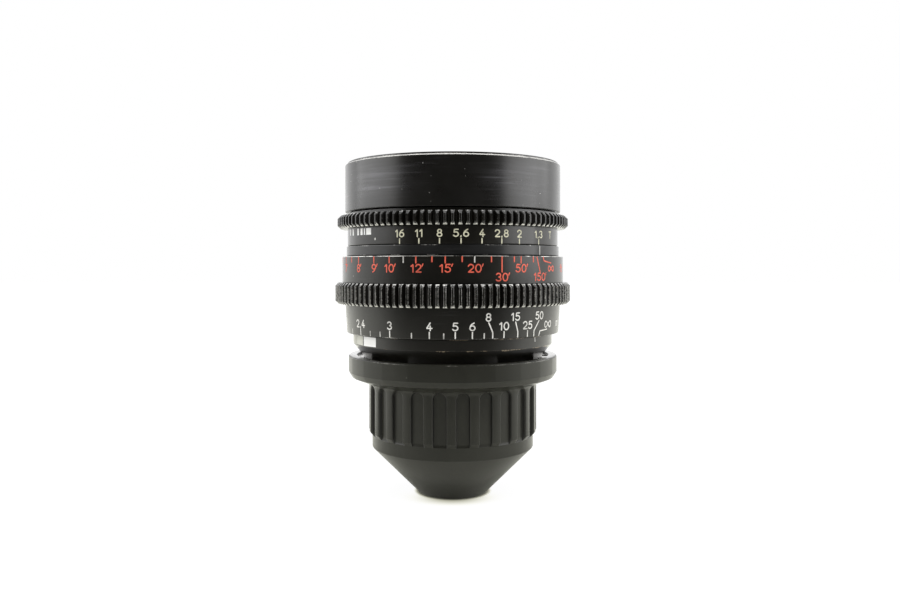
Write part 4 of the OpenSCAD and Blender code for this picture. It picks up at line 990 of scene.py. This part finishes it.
@byName
def sweepFloor(s):
    finish, tree, shader, coords = newFinish("pale_sweep")
    tree.nodes.remove(shader)

    def matt(colour):
        return addNode(tree, "BsdfDiffuse", {"Color": colour})[0]

    def glow(colour, strength):
        return addNode(tree, "Emission", {"Color": colour, "Strength": strength})[0]

    def both(a, b):
        return addNode(tree, "AddShader", {0: a, 1: b})[0]

    def either(factor, a, b):
        return addNode(tree, "MixShader", {0: factor, 1: a, 2: b})[0]
    path = addNode(tree, "LightPath")
    across = addNode(tree, "SeparateXYZ", {0: coords})["Y"]
    far = distance(tree, coords)
    # in reflections the sweep falls off towards the dark side of the room, and under the foot
    lit = fade(tree, across, *s.floorFade, s.farFloor, 1.0)
    sheen = times(tree, lit, fade(tree, far, *s.sheenFade, 0, s.sheen))
    shiny = both(matt(blend(tree, lit, (0, 0, 0), s.floorTint)), glow((1, 1, 1, 1), sheen))
    bounced = either(path["Is Glossy Ray"], matt((s.bounce,) * 3 + (1,)), shiny)
    # the floor is shaded close under the foot, and before it by shadow (1 - d / reach) (-y / r)^2
    cover = addNode(tree, "AmbientOcclusion", {"Distance": s.contact})["AO"]
    beyond = less(tree, far, capShape["footR"] * mm)
    near = less(tree, 1.0, calc(tree, "DIVIDE", beyond, s.reach), True)
    ahead = calc(tree, "DIVIDE", times(tree, across, -1.0), far, True)
    shadow = times(tree, times(tree, near, s.shadow), times(tree, ahead, ahead))
    clear = times(tree, fade(tree, cover, *s.contactFade), less(tree, 1.0, shadow))
    strength = fade(tree, far, *s.glowFade, s.floorGlow, 1)
    strength = times(tree, strength, fade(tree, clear, 0, 1, s.darkest, 1))
    tint = blend(tree, clear, s.contactTint, (1, 1, 1))
    seen = both(matt((s.floorColour,) * 3 + (1,)), glow(tint, strength))
    plug(tree.nodes["Material Output"], {"Surface": either(path["Is Camera Ray"], bounced, seen)})
    mesh = bpy.data.meshes.new("sweep_floor")
    corners = [(x * s.floorSize, y * s.floorSize, 0) for x, y in ((-1, -1), (1, -1), (1, 1), (-1, 1))]
    mesh.from_pydata(corners, [], [(0, 1, 2, 3)])
    mesh.materials.append(finish)
    floor = linkObject("sweep_floor", mesh)


lamps = [
    dict(name="top_soft", at=(0, .15, .85), aim=(0, 0, .06), width=.7, height=.7, power=2.2, edge=()),
    dict(name="left_soft", at=(-.8, -.29, .55), aim=(0, -.29, .55), width=.74, height=.8, power=3.83,
         edge=(-.66, -.36)),
    dict(name="left_back", at=(-.8, .23, .55), aim=(0, .23, .55), width=.3, height=.8, power=1.1, edge=()),
    dict(name="right_soft", at=(.8, -.33, .51), aim=(0, -.33, .51), width=.82, height=.88, power=5.22,
         edge=(-.74, -.44)),
    dict(name="right_back", at=(.8, .23, .55), aim=(0, .23, .55), width=.3, height=.8, power=1.1, edge=())]


@byName
def softLamp(s):
    lamp = bpy.data.lights.new(s.name, "AREA")
    lamp.shape, lamp.size, lamp.size_y, lamp.energy = "RECTANGLE", s.width, s.height, s.power
    if s.edge:
        # the panel darkens towards the camera
        lamp.use_nodes = True
        tree = lamp.node_tree
        place = addNode(tree, "NewGeometry")["Position"]
        across = addNode(tree, "SeparateXYZ", {0: place})["Y"]
        plug(tree.nodes["Emission"], {"Strength": fade(tree, across, *s.edge)})
    holder = linkObject(s.name, lamp)
    holder.location = s.at
    aim = np.array(s.aim) - np.array(s.at)
    flat = math.hypot(aim[0], aim[1])
    holder.rotation_euler = (math.atan2(flat, -aim[2]), 0, math.atan2(aim[1], aim[0]) - math.pi / 2)


@byName
def levelCamera(s):
    eye = bpy.data.cameras.new("level_camera")
    eye.lens, eye.sensor_width, eye.clip_start = s.lens, s.sensor, s.clip
    eye.shift_x, eye.shift_y = s.shift
    holder = linkObject("level_camera", eye)
    holder.location = s.camera
    holder.rotation_euler = (math.radians(90), 0, 0)
    bpy.context.scene.camera = holder


studioWorld(studio)
sweepFloor(studio)
for lamp in lamps:
    softLamp(lamp)
levelCamera(studio)
bpy.context.scene.view_settings.view_transform = "Standard"
print("studio set")
